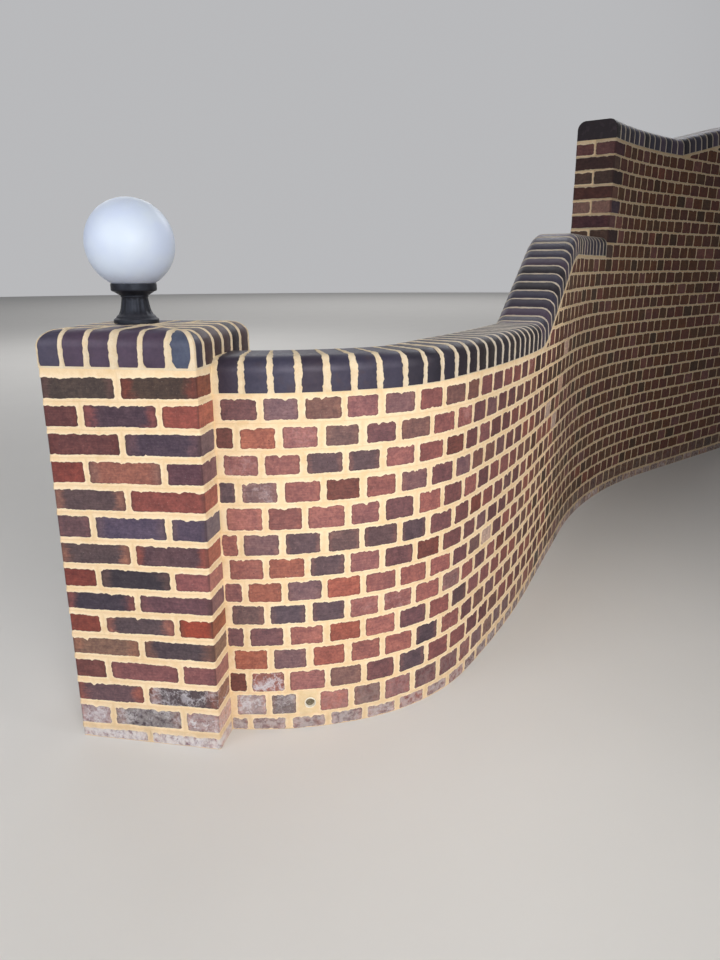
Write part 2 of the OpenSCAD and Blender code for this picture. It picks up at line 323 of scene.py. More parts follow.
# share of each kind: near the pier, and along the tall walls
NEAR = (("purple", .32), ("plum", .2), ("mauve", .13), ("rose", .13), ("brown", .1), ("maroon", .06), ("red", .03), ("chalky", .03))
MIDDLE = (("purple", .34), ("plum", .3), ("brown", .16), ("mauve", .08), ("maroon", .07), ("rose", .05))
# the far kinds are darker, partly their own colour and partly painted shade of the tall walls
FAR = (("dusk", .36), ("wine", .32), ("bark", .16), ("night", .08), ("plum", .06), ("maroon", .02))
PIER = (("red", .2), ("flash", .2), ("purple", .2), ("black", .1), ("plum", .12), ("maroon", .1), ("halo", .08))
# bricks of the pier's front, left to right, in courses from the top
FRONT = ["umber singed", "maroon inky red", "maroon blue", "brick ember plum", "halo red", "grey indigo indigo",
         "halo wisp", "brick black rose", "inky plum", "brick flash bright", "ashy steel", "maroon purple purple",
         "wisp frost", "salt frost salt", "salt salt"]


def pick(shares, u):
    total = sum(w for _, w in shares)
    for name, w in shares:
        u -= w / total
        if u <= 0:
            return name
    return shares[-1][0]


def brick_look(kind, rng, gain=1.0):
    c1, c2, flash, salt = KIND[kind]
    tone = rng.normal(0.97, 0.05) * np.asarray(gain)
    warm = rng.normal(0.0, 0.035)
    shift = np.array([1 + warm, 1.0, 1 - warm]) * tone
    return (np.append(np.array(c1) * shift, flash * rng.uniform(0.75, 1.0)),
            np.append(np.array(c2) * shift, min(1.0, salt * rng.uniform(0.5, 1.5))))


# ---- one brick and the mortar round it --------------------------------------------
def lay(B, path, s0, s1, m0, m1, top_c, bot_c, top_h, bot_h, sp, seed, kind, turns=(), chart="a", rag=1.0, brick=True, grime=0.0, gain=1.0, tone=1.0,
        main=None):
    """s0..s1: the cell, from joint centre to joint centre; m0, m1: mortar left of and right of the brick.
    top_c, bot_c give the cell's upper and lower edge at a length s, top_h and bot_h the brick's."""
    rng = np.random.default_rng(seed)
    # tone scales the mortar's colour; below 1 it darkens the mortar along the tall walls, part dirt and part painted
    # shade
    mg = (tone, tone * .97, tone * .94 + .03, grime)
    h0, h1 = s0 + m0, s1 - m1
    arc = path.corner * math.pi / 2
    turns = [t for t in turns if h0 + 1 < t < h1 - 1 - arc]
    # narrow the brick to where there is room for it under a slope
    if brick:
        probe = np.linspace(h0, h1, 25)
        room = top_h(probe) - bot_h(probe) > 15
        if not room.any() or (probe[room].max() - probe[room].min()) < 16:
            brick = False
        elif not room.all():
            h0, h1 = probe[room].min(), probe[room].max()
    if not brick:
        n = max(2, int((s1 - s0) / max(sp, 8)))
        xs = np.linspace(s0, s1, n + 1)
        zt, zb = top_c(xs), bot_c(xs)
        keep = zt > zb + 0.3
        if not keep.any():
            return
        i0, i1 = max(np.argmax(keep) - 1, 0), min(len(keep) - np.argmax(keep[::-1]), len(keep) - 1)
        xs, zt, zb = xs[i0:i1 + 1], zt[i0:i1 + 1], np.minimum(zb[i0:i1 + 1], zt[i0:i1 + 1])
        if len(xs) < 2:
            return
        rows = [zt + (zb - zt) * f for f in (0, 0.33, 0.67, 1)]
        base = None
        for k, zz in enumerate(rows):
            off = 0.5 + 0.5 * wave2(xs / 38, zz / 38, 7) + (0.5 if 0 < k < 3 else 0)
            b = B.add(path.place(xs, zz, off), np.stack([xs, zz], 1), kc=mg, chart=chart)
            base = b if base is None else base
        n = len(xs)
        i = np.arange(n - 1)
        for k in range(3):
            a, c = base + k * n, base + (k + 1) * n
            B.quad(np.stack([a + i, c + i, c + i + 1, a + i + 1], 1), MORTAR, True)
        return

    n = max(3, int(round((h1 - h0) / sp)))
    xs = h0 + (h1 - h0) * np.arange(n + 1) / n
    forced = np.array([t + arc * d for t in turns for d in ((0.0, 0.5, 1.0) if arc < 6 else (0.0, 0.25, 0.5, 0.75, 1.0))])
    if len(forced):
        far = np.abs(xs[:, None] - forced[None, :]).min(1) > 1.6
        far[0] = far[-1] = True
        xs = np.unique(np.concatenate([xs[far], forced]))
    n = len(xs) - 1
    rc = rng.uniform(2.5, 6.5)
    dx = np.minimum(xs - h0, h1 - xs)
    drop = np.where(dx < rc, rc - np.sqrt(np.maximum(rc ** 2 - (rc - dx) ** 2, 0)), 0.0)
    rt = rag * (0.8 * (1 + wave(xs / 24, seed)) + 2.3 * np.abs(wave(xs / 8.5, seed + 1)) + 1.2 * wave(xs / 3.6, seed + 2))
    for _ in range(rng.poisson(1.3 * (h1 - h0) / 90)):
        c, w, d = rng.uniform(h0, h1), rng.uniform(3.0, 6.5), rng.uniform(1.5, 4.5) * rag
        rt = rt + d * np.exp(-((xs - c) / w) ** 2)
    if rng.uniform() < 0.6:
        # the joint above leaves a notch in the middle of the brick's top edge
        c, w, d = (s0 + s1) / 2 + rng.normal(0, 5), rng.uniform(5, 10), rng.uniform(2.0, 6.0) * rag
        rt = rt + d * np.maximum(0, 1 - np.abs(xs - c) / w)
    rb = rag * (0.5 * (1 + wave(xs / 30, seed + 3)) + 1.4 * np.abs(wave(xs / 9, seed + 4)) + 0.8 * wave(xs / 3.6, seed + 9))
    if rng.uniform() < 0.25:
        c, w, d = (s0 + s1) / 2 + rng.normal(0, 5), rng.uniform(4, 8), rng.uniform(1.0, 3.5) * rag
        rb = rb + d * np.maximum(0, 1 - np.abs(xs - c) / w)
    for _ in range(rng.poisson(0.25 * (h1 - h0) / 90)):
        c, w, d = rng.uniform(h0, h1), rng.uniform(3.0, 6.0), rng.uniform(1.0, 3.0) * rag
        rb = rb + d * np.exp(-((xs - c) / w) ** 2)
    th, bh = top_h(xs), bot_h(xs)
    zt, zb = th - rt - drop, bh + rb + drop
    mid = (zt + zb) / 2
    zt, zb = np.maximum(zt, mid + 3), np.minimum(zb, mid - 3)

    def side(x, z_from, z_to, sgn, sd):
        m = max(2, int(round(abs(z_to - z_from) / sp)))
        w = np.arange(1, m) / m
        z = z_from + (z_to - z_from) * w
        win = np.minimum(1, 4 * np.minimum(w, 1 - w))
        return x + sgn * rag * win * (1.3 * wave(z / 16, sd) + 1.5 * wave(z / 6.8, sd + 1) + 0.6 * wave(z / 3.6, sd + 2)), z, w

    xr, zr, wr = side(h1, zt[-1], zb[-1], -1, seed + 5)
    xl, zl, wl = side(h0, zb[0], zt[0], 1, seed + 7)
    S = np.concatenate([xs, xr, xs[::-1], xl])
    Z = np.concatenate([zt, zr, zb[::-1], zl])
    e = min(22.0, (h1 - h0) * 0.42)
    fx = xs.copy()
    lft, rgt = xs < h0 + e, xs > h1 - e
    fx[lft] = s0 + (xs[lft] - h0) / e * (h0 + e - s0)
    fx[rgt] = s1 - (h1 - xs[rgt]) / e * (s1 - (h1 - e))
    ct, cb = top_c(fx), bot_c(fx)
    cb = np.minimum(cb, ct)
    S0 = np.concatenate([fx, np.full(len(wr), s1), fx[::-1], np.full(len(wl), s0)])
    Z0 = np.concatenate([ct, ct[-1] + (cb[-1] - ct[-1]) * wr, cb[::-1], cb[0] + (ct[0] - cb[0]) * wl])
    # how far up the brick each point of the ring is: 1 along the top, 0 along the bottom
    up = np.concatenate([np.ones(n + 1), 1 - wr, np.zeros(n + 1), wl])
    S1, Z1 = S0 + 0.55 * (S - S0), Z0 + 0.55 * (Z - Z0)
    r0 = 0.4 + 0.6 * wave2(S0 / 38, Z0 / 38, 7)
    r1 = -0.2 + 1.5 * up + 0.6 * wave2(S1 / 38, Z1 / 38, 7) + 0.3 * wave2(S1 / 9, Z1 / 9, 8)
    r2 = -0.9 + 2.6 * smooth(0.0, 0.45, up) + 0.4 * wave2(S / 11, Z / 11, 9)
    face = rng.normal(0.0, 0.55)
    L_ring = len(S)
    line = np.stack([np.zeros(L_ring), np.zeros(L_ring), np.where(up < 0.01, 1.0, 0.0)], 1)
    b0 = B.add(path.place(S0, Z0, r0), np.stack([S0, Z0], 1), line, kc=mg, chart=chart)
    b1 = B.add(path.place(S1, Z1, r1), np.stack([S1, Z1], 1), (.4, 0, 0), kc=mg, chart=chart)
    b2 = B.add(path.place(S, Z, r2), np.stack([S, Z], 1), (1, 0, 0), kc=mg, chart=chart)
    L = len(S)
    i = np.arange(L)
    j = (i + 1) % L
    B.quad(np.stack([b0 + i, b1 + i, b1 + j, b0 + j], 1), MORTAR, True)
    B.quad(np.stack([b1 + i, b2 + i, b2 + j, b1 + j], 1), MORTAR, True)
    # the brick's own face
    sc, zc = (h0 + h1) / 2, float(np.mean(mid))
    hw, hh = (h1 - h0) / 2, float(np.max(zt) - np.min(zb)) / 2
    if len(turns):
        bp = path.place(S, Z, np.full(L, face))
        lift = np.full(L, face)
    else:
        x, y, h, _, rad = path.at(sc)
        x, y, h, rad = x[0], y[0], h[0], rad[0]
        sag = 0.0 if rad == 0 else (2 * hw) ** 2 / (8 * rad)
        lift = face - 0.5 * sag + rng.normal(0, 0.0045) * (S - sc) + rng.normal(0, 0.006) * (Z - zc)
        d = S - sc
        bp = np.stack([x + math.cos(h) * d + math.sin(h) * lift, y + math.sin(h) * d - math.cos(h) * lift, Z], 1)
    ka, kb = brick_look(kind, rng, gain)
    # a brick round a corner is burnt in the middle of its longer face
    uc, uw = sc, hw
    if len(turns):
        bends_at = [h0] + [t + arc / 2 for t in turns] + [h1]
        g = int(np.argmax(np.diff(bends_at))) if main is None else main % (len(bends_at) - 1)
        uc, uw = (bends_at[g] + bends_at[g + 1]) / 2, (bends_at[g + 1] - bends_at[g]) / 2
    kn = np.stack([np.clip((S - uc) / uw, -1.6, 1.6), (Z - zc) / hh, np.full(L, rng.uniform(0, 50))], 1)
    kl = np.stack([(S - sc) / 100, (Z - zc) / 100, np.full(L, grime)], 1)
    inset_s, inset_z = (sc - S) / hw * 0.5, (zc - Z) / hh * 0.5
    c = B.add(bp, np.stack([S + inset_s, Z + inset_z], 1), kn, kl, ka, kb, chart)
    # small steps between mortar and brick: whichever stands proud shows its edge
    deep = B.add(path.place(S, Z, np.minimum(r2, lift) - 2.5), np.stack([S + inset_s * .5, Z + inset_z * .5], 1), kn, kl, mg, kb, chart)
    proud = r2 + 0.05 > lift
    e1 = proud | proud[j]
    rim = B.add(path.place(S, Z, r2), np.stack([S, Z], 1), (1, 0, 0), kc=mg, chart=chart)
    q = np.stack([rim + i, deep + i, deep + j, rim + j], 1)[e1]
    if len(q):
        B.quad(q, MORTAR, True)
    e2 = ~e1
    if e2.any():
        edge = B.add(bp, np.stack([S, Z], 1), kn, kl, ka, kb, chart)
        low = B.add(path.place(S, Z, lift - 3.0), np.stack([S + inset_s * .5, Z + inset_z * .5], 1), kn, kl, ka, kb, chart)
        B.quad(np.stack([low + i, edge + i, edge + j, low + j], 1)[e2], BRICK, True)
    if not len(turns):
        B.gon(c + np.arange(L)[::-1], BRICK)
    else:
        m_r = len(wr)
        brk = sorted(set([0, n] + [int(np.argmin(np.abs(xs - f))) for f in forced]))
        bends = {int(np.argmin(np.abs(xs - f))) for f in forced}
        for p, q2 in zip(brk[:-1], brk[1:]):
            top = [c + k for k in range(p, q2 + 1)]
            right = [c + n + 1 + k for k in range(m_r)] if q2 == n else []
            bottom = [c + n + 1 + m_r + (n - k) for k in range(q2, p - 1, -1)]
            left = [c + 2 * n + 2 + m_r + k for k in range(len(wl))] if p == 0 else []
            B.gon((top + right + bottom + left)[::-1], BRICK, soft=(p in bends and q2 in bends and xs[q2] - xs[p] < arc))


# ---- walls ---------------------------------------------------------------------
WALL_NODES = {1: ["low_wall_a", "low_wall_b"], 2: ["low_wall_c", "low_wall_d"], 3: ["ramp_wall"], 4: ["mid_wall"],
              5: ["tall_wall_a", "tall_wall_b"], 6: ["high_ramp_wall"], 7: ["end_wall"]}
walls = {}


def wall_piece(st, z):
    k = 1 + sum(st >= e for e in (ST_C, ST_R1, ST_M, ST_T - 1, ST_R2, ST_E))
    level = 0 if k < 5 or z < (1050 if k == 5 else 1200) else 1
    return walls.setdefault((k, level), Build())


def pitch_for(length, want=113.0):
    return length / max(1, round(length / want))


def spacing(st, inside):
    if inside or st > 2600:
        return 9.5
    return 4.3 if st < 950 else 5.8 if st < 1900 else 7.5


def tall_joints(s):
    """Joint positions from the length s on along the tall wall's outer face."""
    out = [s]
    while s < ST_END - 107.5 - 70:
        s += 112.0 if s < 3280 else 90.0 if s < 3940 else 106.0 if s < 4150 else 120.0
        out.append(s)
    k = (ST_END - 107.5 - out[-4]) / (out[-1] - out[-4])
    return out[:-3] + [out[-4] + (q - out[-4]) * k for q in out[-3:]]


def middles(cuts):
    return [(a + b) / 2 for a, b in zip(cuts[:-1], cuts[1:])]


FIRST = [8, 127, 244.5, 364, 476.5, 594.5, 709] + [823 + 104.3 * n for n in range(0, 7)]
OUTER_JOINTS = FIRST + [1553 + 112.9 * n for n in range(0, 15)] + tall_joints(1553 + 112.9 * 15)


def low_row(odd):
    """Joint positions along the long low path."""
    e0 = ST_END - C_R                      # start of the first far corner
    e1 = e0 + CORNER + WALL_T - 2 * C_R    # start of the second far corner
    back0 = e1 + CORNER - C_R              # where the inner face's square corner is
    inner = low_path.length - back0
    p = pitch_for(inner - 107.5)
    if odd:
        ins = [back0 + 107.5 + p * k for k in range(0, int(round((inner - 107.5) / p)))]
        return [0.0] + OUTER_JOINTS[1:] + ins + [low_path.length]
    out = [q - 9 * max(0.0, 1 - q / 1200) for q in middles(OUTER_JOINTS)]
    ins = [back0 + 107.5 + p * (k + 0.5) for k in range(0, int(round((inner - 107.5) / p)))]
    return [0.0] + out + [(e0 + e1 + CORNER) / 2] + ins + [low_path.length]


def top_row(odd):
    """Joint positions round the upper, closed path: odd courses have a stretcher on each squared end."""
    o0 = _half - C_R + CORNER - C_R
    o_len = SEG_T + RAMP_W + SEG_E
    o1 = o0 + o_len
    half_turn = WALL_T + 2 * (CORNER - 2 * C_R)
    i0 = o1 + half_turn
    i_len = 3555 * RAD(15.5) + RAMP_W + SEG_E
    pi = pitch_for(i_len - 215)
    ni = int(round((i_len - 215) / pi))
    outer = [o0 + q - ST_T for q in tall_joints(ST_T + 107.5)]
    inner = [i0 + 107.5 + pi * k for k in range(ni + 1)]
    if odd:
        return outer + inner + [o0 + 107.5 + top_path.length]
    return [0.0] + middles(outer) + [(o1 + i0) / 2] + middles(inner) + [top_path.length]


def wall_kind(rng, st, row, back):
    near = float(np.clip(1 - (st - 1400) / 900, 0, 1))
    if back:
        near = max(near, 0.5)
    u = rng.uniform()
    if rng.uniform() < near:
        return pick(NEAR if st < 620 or back else MIDDLE, u)
    return pick(FAR, u)


# bricks that stand out on the low wall: (course, how many bricks from the pier)
SPECIAL = {(1, 0): "plum", (1, 1): "mauve", (1, 2): "brown", (1, 3): "purple", (1, 4): "mauve", (1, 6): "brown",
           (2, 0): "maroon", (2, 1): "orange", (2, 2): "rose", (2, 3): "brown", (2, 4): "plum",
           (3, 0): "rose", (3, 1): "rose", (3, 2): "blue", (3, 3): "blue", (3, 4): "rose", (3, 5): "purple",
           (4, 0): "blue", (4, 1): "chalky", (4, 2): "purple", (4, 3): "maroon", (4, 4): "purple",
           (5, 0): "rose", (5, 1): "purple", (5, 2): "rose", (5, 3): "purple", (5, 4): "plum", (5, 5): "rose", (5, 6): "plum",
           (6, 0): "rose", (6, 1): "mauve", (6, 2): "blue", (6, 3): "grey", (6, 4): "blue", (6, 5): "blue", (6, 6): "plum", (6, 7): "plum",
           (7, 0): "rose", (7, 1): "orange", (7, 2): "blue", (7, 3): "rose", (7, 5): "maroon",
           (8, 1): "orange", (8, 2): "mauve", (8, 3): "red", (8, 4): "purple", (8, 5): "rose", (8, 6): "rose",
           (9, 0): "grey", (9, 1): "blue", (9, 2): "blue", (9, 3): "rose", (9, 4): "rose", (9, 6): "chalky", (9, 7): "rose",
           (10, 0): "plum", (10, 1): "plum", (10, 2): "rose", (10, 3): "red", (10, 4): "rose", (10, 5): "plum", (10, 7): "blue",
           (11, 0): "orange", (11, 1): "mauve", (11, 2): "red", (11, 3): "rose", (11, 4): "rose", (11, 5): "blue", (11, 6): "rose",
           (12, 0): "maroon", (12, 1): "powder", (12, 2): "rose", (12, 3): "brown", (12, 4): "plum", (12, 5): "blue",
           (13, 0): "salt", (13, 1): "rime", (13, 3): "rose", (13, 4): "brown"}
# pale bricks further along: (course, station)
PALE = ((8, 1035), (4, 1880), (5, 2050), (3, 2125), (1, 2280))
PIPE_S = 243.5


# bed joints just under a coping, and how near they lie to it
TOP_JOINTS = {0: 16, -5: 16, -13: 16, -15: 26}


def run_rows(path, rows, joints_for, chart_of):
    turns = corners_of(path)
    if path.closed:
        turns = turns + [t + path.length for t in turns]
    for r in rows:
        odd = r % 2 == 1
        cuts = joints_for(odd)
        # no two courses are set out quite alike
        loose = np.random.default_rng(300 + r).normal(0, 2.2, len(cuts))
        cuts = [cuts[0]] + [q + float(d) for q, d in zip(cuts[1:-1], np.clip(loose, -4, 4))] + [cuts[-1]]
        if path is low_path and r == 13:
            cuts = [0.0, 117.0, 211.0, 265.0, 373.0] + [q for q in cuts if q > 420]
        for k, (s0, s1) in enumerate(zip(cuts[:-1], cuts[1:])):
            sm = (s0 + s1) / 2
            x, y, h, st, rad = (float(a[0]) for a in path.at(sm))
            probe = np.linspace(s0 + .01, s1 - .01, 13)
            pst = path.at(probe)[3]
            lim = underside(pst)
            top_limited = path is top_path or (pst < ST_T - 0.5).any()

            def limit(s):
                if path is low_path:
                    q = path.at(s)[3]
                    return np.where(q < ST_T - 0.5, underside(q), 9e9)
                return underside(path.at(s)[3])

            def line(s):
                return bed(r - 1, s)

            def joined(j, s):
                """Bed joint j; the top course under a level coping runs up to the coping."""
                t, q = bed(j, s), limit(s)
                if j in TOP_JOINTS:
                    t = np.where(np.abs(q - t) < TOP_JOINTS[j], q, t)
                return np.minimum(t, q)

            def top_c(s):
                return joined(r - 1, s)

            def bot_c(s):
                return np.minimum(joined(r, s), top_c(s))

            if top_limited and (lim - bot_c(probe)).max() < 3:
                continue

            inside = chart_of(s0, s1) == "inner"
            # mortar above and below the bricks: generous near the pier, thin along the tall walls
            if inside:
                mt, mb = 8.5, 7.0
            else:
                far, thin = float(smooth(650, 950, st)), float(smooth(1400, 2100, st))
                mt = {1: 7.0, 2: 10.5, 3: 10.5, 4: 10.0, 5: 8.0}.get(r, 5.8) * (1 - far) + 5.6 * far - 1.2 * thin
                mb = {1: 8.4, 2: 6.0, 3: 8.2, 4: 5.2, 5: 4.6}.get(r, 3.4) * (1 - far) + 8.2 * far - 4.0 * thin
            rng = np.random.default_rng(1000 + 977 * (r + 40) + 13 * k + (50000 if path is top_path else 0))
            mt, mb = mt + rng.normal(0, .7), mb + rng.normal(0, .6)

            def top_h(s):
                return np.minimum(line(s) - mt, limit(s) - 12.0)

            def bot_h(s):
                return bed(r, s) + (mb if r < 14 else 0.5)

            m = 10.4 - 1.8 * float(smooth(600, 900, st)) - 4.8 * float(smooth(1500, 2500, st)) if not inside else 8.5
            m0, m1 = max(2.0, m + rng.normal(0, .12 * m)), max(2.0, m + rng.normal(0, .12 * m))
            if path is low_path:
                if k == 0:
                    m0 = 21.0 if odd else 4.0
                    m1 = 9.0
                if k == len(cuts) - 2:
                    m1 = 14.0
            sp = spacing(st, inside)
            near_i = k if not inside else 99
            kind = SPECIAL.get((r, near_i)) or wall_kind(rng, st, r, inside)
            if not inside and any(r == q and abs(st - p) < (s1 - s0) / 2 for q, p in PALE):
                kind = "pale"
            # the wall drops to a row of half buried bricks where it meets the ground
            grime = 0.0
            z_mid = float(bed(r, sm) + 37)
            if r >= 13:
                grime = 0.4 if r == 14 else 0.1
                if r == 14 and rng.uniform() < .6:
                    kind = "chalky"
            brick = True
            gain = [float(np.interp(st, [0, 400, 700, 1200, 1750, 2100, 2700], g)) for g in
                    ((1.36, 1.34, 1.24, 1.14, 1.08, 1.30, 1.40), (1.50, 1.42, 1.20, 1.06, .90, 1.15, 1.32), (1.30, 1.24, 1.05, .85, .58, .79, .90))]
            if kind == "pale":
                gain = [1.2, 1.18, 1.1]
            if inside:
                gain = [1.2, 1.12, 1.0]
            if path is top_path and st < ST_T + 70:
                kind = ("night", "dusk", "steel", "wine", "night")[(r + 2 * k) % 5]
                gain = [1.0, .96, 1.04]
            if path is low_path and r == 13 and s0 < PIPE_S < s1:
                pipe_cell(wall_piece(st, z_mid), path, s0, s1, top_c, bot_c)
                continue
            # the last argument darkens the mortar from station 2000 on: part dirt, part painted shade of the far walls
            lay(wall_piece(st, z_mid), path, s0, s1, m0, m1, top_c, bot_c, top_h, bot_h, sp,
                int(rng.integers(1, 10 ** 6)), kind, turns, chart_of(s0, s1), 1.0, brick, grime, gain,
                1.0 if inside else 1 - .22 * float(smooth(2000, 2300, st)))


def pipe_cell(B, path, s0, s1, top_c, bot_c):
    """A joint's worth of mortar instead of a brick, with a round hole for the weep pipe."""
    n = 48
    a = np.linspace(0, 2 * math.pi, n, endpoint=False) + math.pi / 2
    ca, sa = -np.cos(a), np.sin(a)      # clockwise as seen from outside, starting at the top
    zc, r = 86.0, 17.5
    corners = np.array([[s0, 0], [s1, 0]])
    hw, top, bot = (s1 - s0) / 2, float(top_c(PIPE_S)[0]), float(bot_c(PIPE_S)[0])
    # project each direction on the cell's rectangle
    S0, Z0 = [], []
    for c, s in zip(ca, sa):
        tx = ((s1 if c > 0 else s0) - PIPE_S) / c if abs(c) > 1e-6 else 9e9
        tz = ((top if s > 0 else bot) - zc) / s if abs(s) > 1e-6 else 9e9
        t = min(tx, tz)
        S0.append(PIPE_S + c * t)
        Z0.append(zc + s * t)
    S0, Z0 = np.array(S0), np.array(Z0)
    for cx, cz in ((s0, top), (s1, top), (s1, bot), (s0, bot)):
        i = int(np.argmin((S0 - cx) ** 2 + (Z0 - cz) ** 2))
        S0[i], Z0[i] = cx, cz
    S2, Z2 = PIPE_S + ca * r, zc + sa * r
    rings = []
    for f, lift in ((0, 0.4), (0.35, 0.9), (0.7, 1.3), (0.93, 0.6), (1.0, -1.6)):
        S, Z = S0 + (S2 - S0) * f, Z0 + (Z2 - Z0) * f
        off = lift + 0.6 * wave2(S / 38, Z / 38, 7) + (0.7 * wave2(S / 10, Z / 10, 12) if 0 < f < 1 else 0)
        rings.append(B.add(path.place(S, Z, off), np.stack([S, Z], 1), kc=(1, 1, 1, 0.35), chart="outer"))
    i = np.arange(n)
    j = (i + 1) % n
    for p, q in zip(rings[:-1], rings[1:]):
        B.quad(np.stack([p + i, q + i, q + j, p + j], 1), MORTAR, True)


far_corner = ST_END - C_R
low_inner_from = low_path.length - sum(s[0] for s in INNER)


def low_chart(s0, s1):
    return "inner" if (s0 + s1) / 2 > low_inner_from - 2 else ("outer" if (s0 + s1) / 2 < far_corner else "turn")


_o_end = _half + SEG_T + RAMP_W + SEG_E


def top_chart(s0, s1):
    m = ((s0 + s1) / 2) % top_path.length
    if m < _half - 1 or m > top_path.length - _half + 1:
        return "turn0"
    if m < _o_end:
        return "outer"
    return "turn" if m < _o_end + WALL_T - 2 else "inner"


run_rows(low_path, range(-4, 15), low_row, low_chart)
run_rows(top_path, range(-17, -4), top_row, top_chart)


# ---- pier ------------------------------------------------------------------------
def run_pier(B):
    turns = corners_of(pier_path)
    side = PIER_W - 2 * C_P + C_P * math.pi / 2

    def on(face, x):
        return face * side + x - C_P

    def tilt(s):
        return 0.019 * (pier_path.at(s)[0] - 220)

    def ripple(s, r):
        a = s * 2 * math.pi / pier_path.length
        return 0.6 * np.sin(4 * a + 1.7 * r) + 0.6 * np.sin(11 * a + 2.9 * r)

    for r in range(1, 16):
        odd = r % 2 == 1
        if odd:
            cuts = [on(0, 220), on(1, 107.5), on(1, 332.5), on(2, 220), on(3, 107.5), on(3, 332.5)]
        else:
            cuts = [on(0, 107.5), on(0, 332.5), on(1, 220), on(2, 107.5), on(2, 332.5), on(3, 220)]
        cuts.append(cuts[0] + pier_path.length)
        names = FRONT[r - 1].split()
        for k, (s0, s1) in enumerate(zip(cuts[:-1], cuts[1:])):
            rng = np.random.default_rng(70000 + r * 100 + k)
            mt, mb = 9.0 + rng.normal(0, .6), 7.6 + rng.normal(0, .6)

            def base_line(s):
                return bed(r - 2, s * 0 + r) + tilt(s) + ripple(s, r) if r > 1 else bed(0, s * 0 + r) + 75 + tilt(s)

            def top_c(s):
                s = np.atleast_1d(np.asarray(s, float))
                return np.full(s.shape, PIER_Z) if r == 1 else bed(r - 2, s * 0 + r - 1) + tilt(s) + ripple(s, r - 1)

            def bot_c(s):
                s = np.atleast_1d(np.asarray(s, float))
                return np.zeros(s.shape) if r == 15 else bed(r - 1, s * 0 + r) + tilt(s) + ripple(s, r)

            def top_h(s):
                s = np.atleast_1d(np.asarray(s, float))
                return (bot_c(s) + 75 - 9.5 if r == 1 else top_c(s) - mt)

            def bot_h(s):
                return bot_c(s) + (mb if r < 15 else 0.5)

            m0, m1 = 9.0 + rng.normal(0, .9), 9.0 + rng.normal(0, .9)
            # which brick of the front this is, if any
            if odd:
                kind = names[0] if k == 5 else names[1] if k == 0 else None
            else:
                kind = names[0] if k == 5 else names[1] if k == 0 else names[2] if k == 1 else None
            kind = kind or pick(PIER, rng.uniform())
            front = k in (0, 5) or (not odd and k == 1)
            m = ((s0 + s1) / 2) % pier_path.length
            chart = "a"
            lay(B, pier_path, s0, s1, m0, m1, top_c, bot_c, top_h, bot_h, 4.6 if front or (odd and k in (1,)) else 7.5,
                int(rng.integers(1, 10 ** 6)), kind, turns + [t + pier_path.length for t in turns], chart, 1.0, True,
                0.8 if r == 15 else 0.3 if r == 14 else 0.0,
                gain=[1.1, 1.17, 1.12] if 9 <= r <= 13 else 1.0,
                main=-1 if k == 5 else 0 if k == 0 or (not odd and k == 1) else None)


pier = Build()
run_pier(pier)


# ---- cores: the mass of mortar behind the faces ------------------------------------
def core(B, st0, st1, z0, z1, inset=10.0):
    n = max(2, int((st1 - st0) / 60))
    st = np.linspace(st0, st1, n + 1)
    x, y, h, _, _ = plan.at(np.clip(st, 0, ST_END - 0.01))
    s0, c0 = np.sin(h), np.cos(h)
    o = np.stack([x - s0 * inset, y + c0 * inset], 1)
    q = np.stack([x - s0 * (WALL_T - inset), y + c0 * (WALL_T - inset)], 1)
    zt = np.minimum(underside(np.clip(st, st0 + .02, st1 - .02)) - 1.0, z1)
    rows = []
    for xy, zz in ((o, np.full(n + 1, z0)), (o, zt), (q, zt), (q, np.full(n + 1, z0))):
        rows.append(B.add(np.column_stack([xy, zz]), (0.0, 0.0), chart="zz"))
    i = np.arange(n)
    for a, b in zip(rows, rows[1:] + rows[:1]):
        B.quad(np.stack([a + i, a + i + 1, b + i + 1, b + i], 1), MORTAR, False)
    B.gon([rows[0], rows[1], rows[2], rows[3]], MORTAR)
    B.gon([r + n for r in reversed(rows)], MORTAR)


for (k, level), B in walls.items():
    a, b = [(0, ST_C), (ST_C, ST_R1), (ST_R1, ST_M), (ST_M, ST_T), (ST_T, ST_R2), (ST_R2, ST_E), (ST_E, ST_END)][k - 1]
    split = 1050 if k == 5 else 1200
    z0, z1 = (0.5, 9e9) if k < 5 else ((0.5, split) if level == 0 else (split, 9e9))
    a, b = a + (12 if k == 1 else 0) + (10 if k == 5 and level else 0), b - (10 if k == 7 else 0)
    if k == 1:
        for part in ((a, PIPE_S - 30, z0, z1), (PIPE_S - 30, PIPE_S + 30, z0, 60.0), (PIPE_S - 30, PIPE_S + 30, 112.0, z1), (PIPE_S + 30, b, z0, z1)):
            core(B, *part)
    else:
        core(B, a, b, z0, z1)
m = PIER_W / 2 - 10
_c = pier.add(np.array([[sx * m, sy * m, z] for z in (0.5, PIER_Z - 1) for sx, sy in ((-1, -1), (1, -1), (1, 1), (-1, 1))]), (0.0, 0.0), chart="zz")
for f in ((0, 1, 5, 4), (1, 2, 6, 5), (2, 3, 7, 6), (3, 0, 4, 7), (4, 5, 6, 7), (3, 2, 1, 0)):
    pier.gon([_c + i for i in f], MORTAR)


# ---- copings -------------------------------------------------------------------------
V1 = EDGE_H - NOSE                        # upright part of the section
VN = NOSE * math.pi / 2                   # length round a nose
VF = WALL_T - 2 * NOSE                    # flat top
V_ALL = 2 * V1 + 2 * VN + VF


def section(v):
    """Across, up and the outward direction at the length v round the section."""
    v = np.asarray(v, float)
    p1 = np.clip((v - V1) / NOSE, 0, math.pi / 2)
    p2 = np.clip((v - V1 - VN - VF) / NOSE, 0, math.pi / 2)
    flat = np.clip(v - V1 - VN, 0, VF)
    y = NOSE * (1 - np.cos(p1)) + flat + NOSE * np.sin(p2)
    h = np.clip(v, 0, V1) + NOSE * np.sin(p1) - NOSE * (1 - np.cos(p2)) - np.clip(v - V1 - 2 * VN - VF, 0, V1)
    ang = math.pi - p1 - p2               # pi points out of the front, 0 out of the back
    return y, h, np.cos(ang), np.sin(ang)


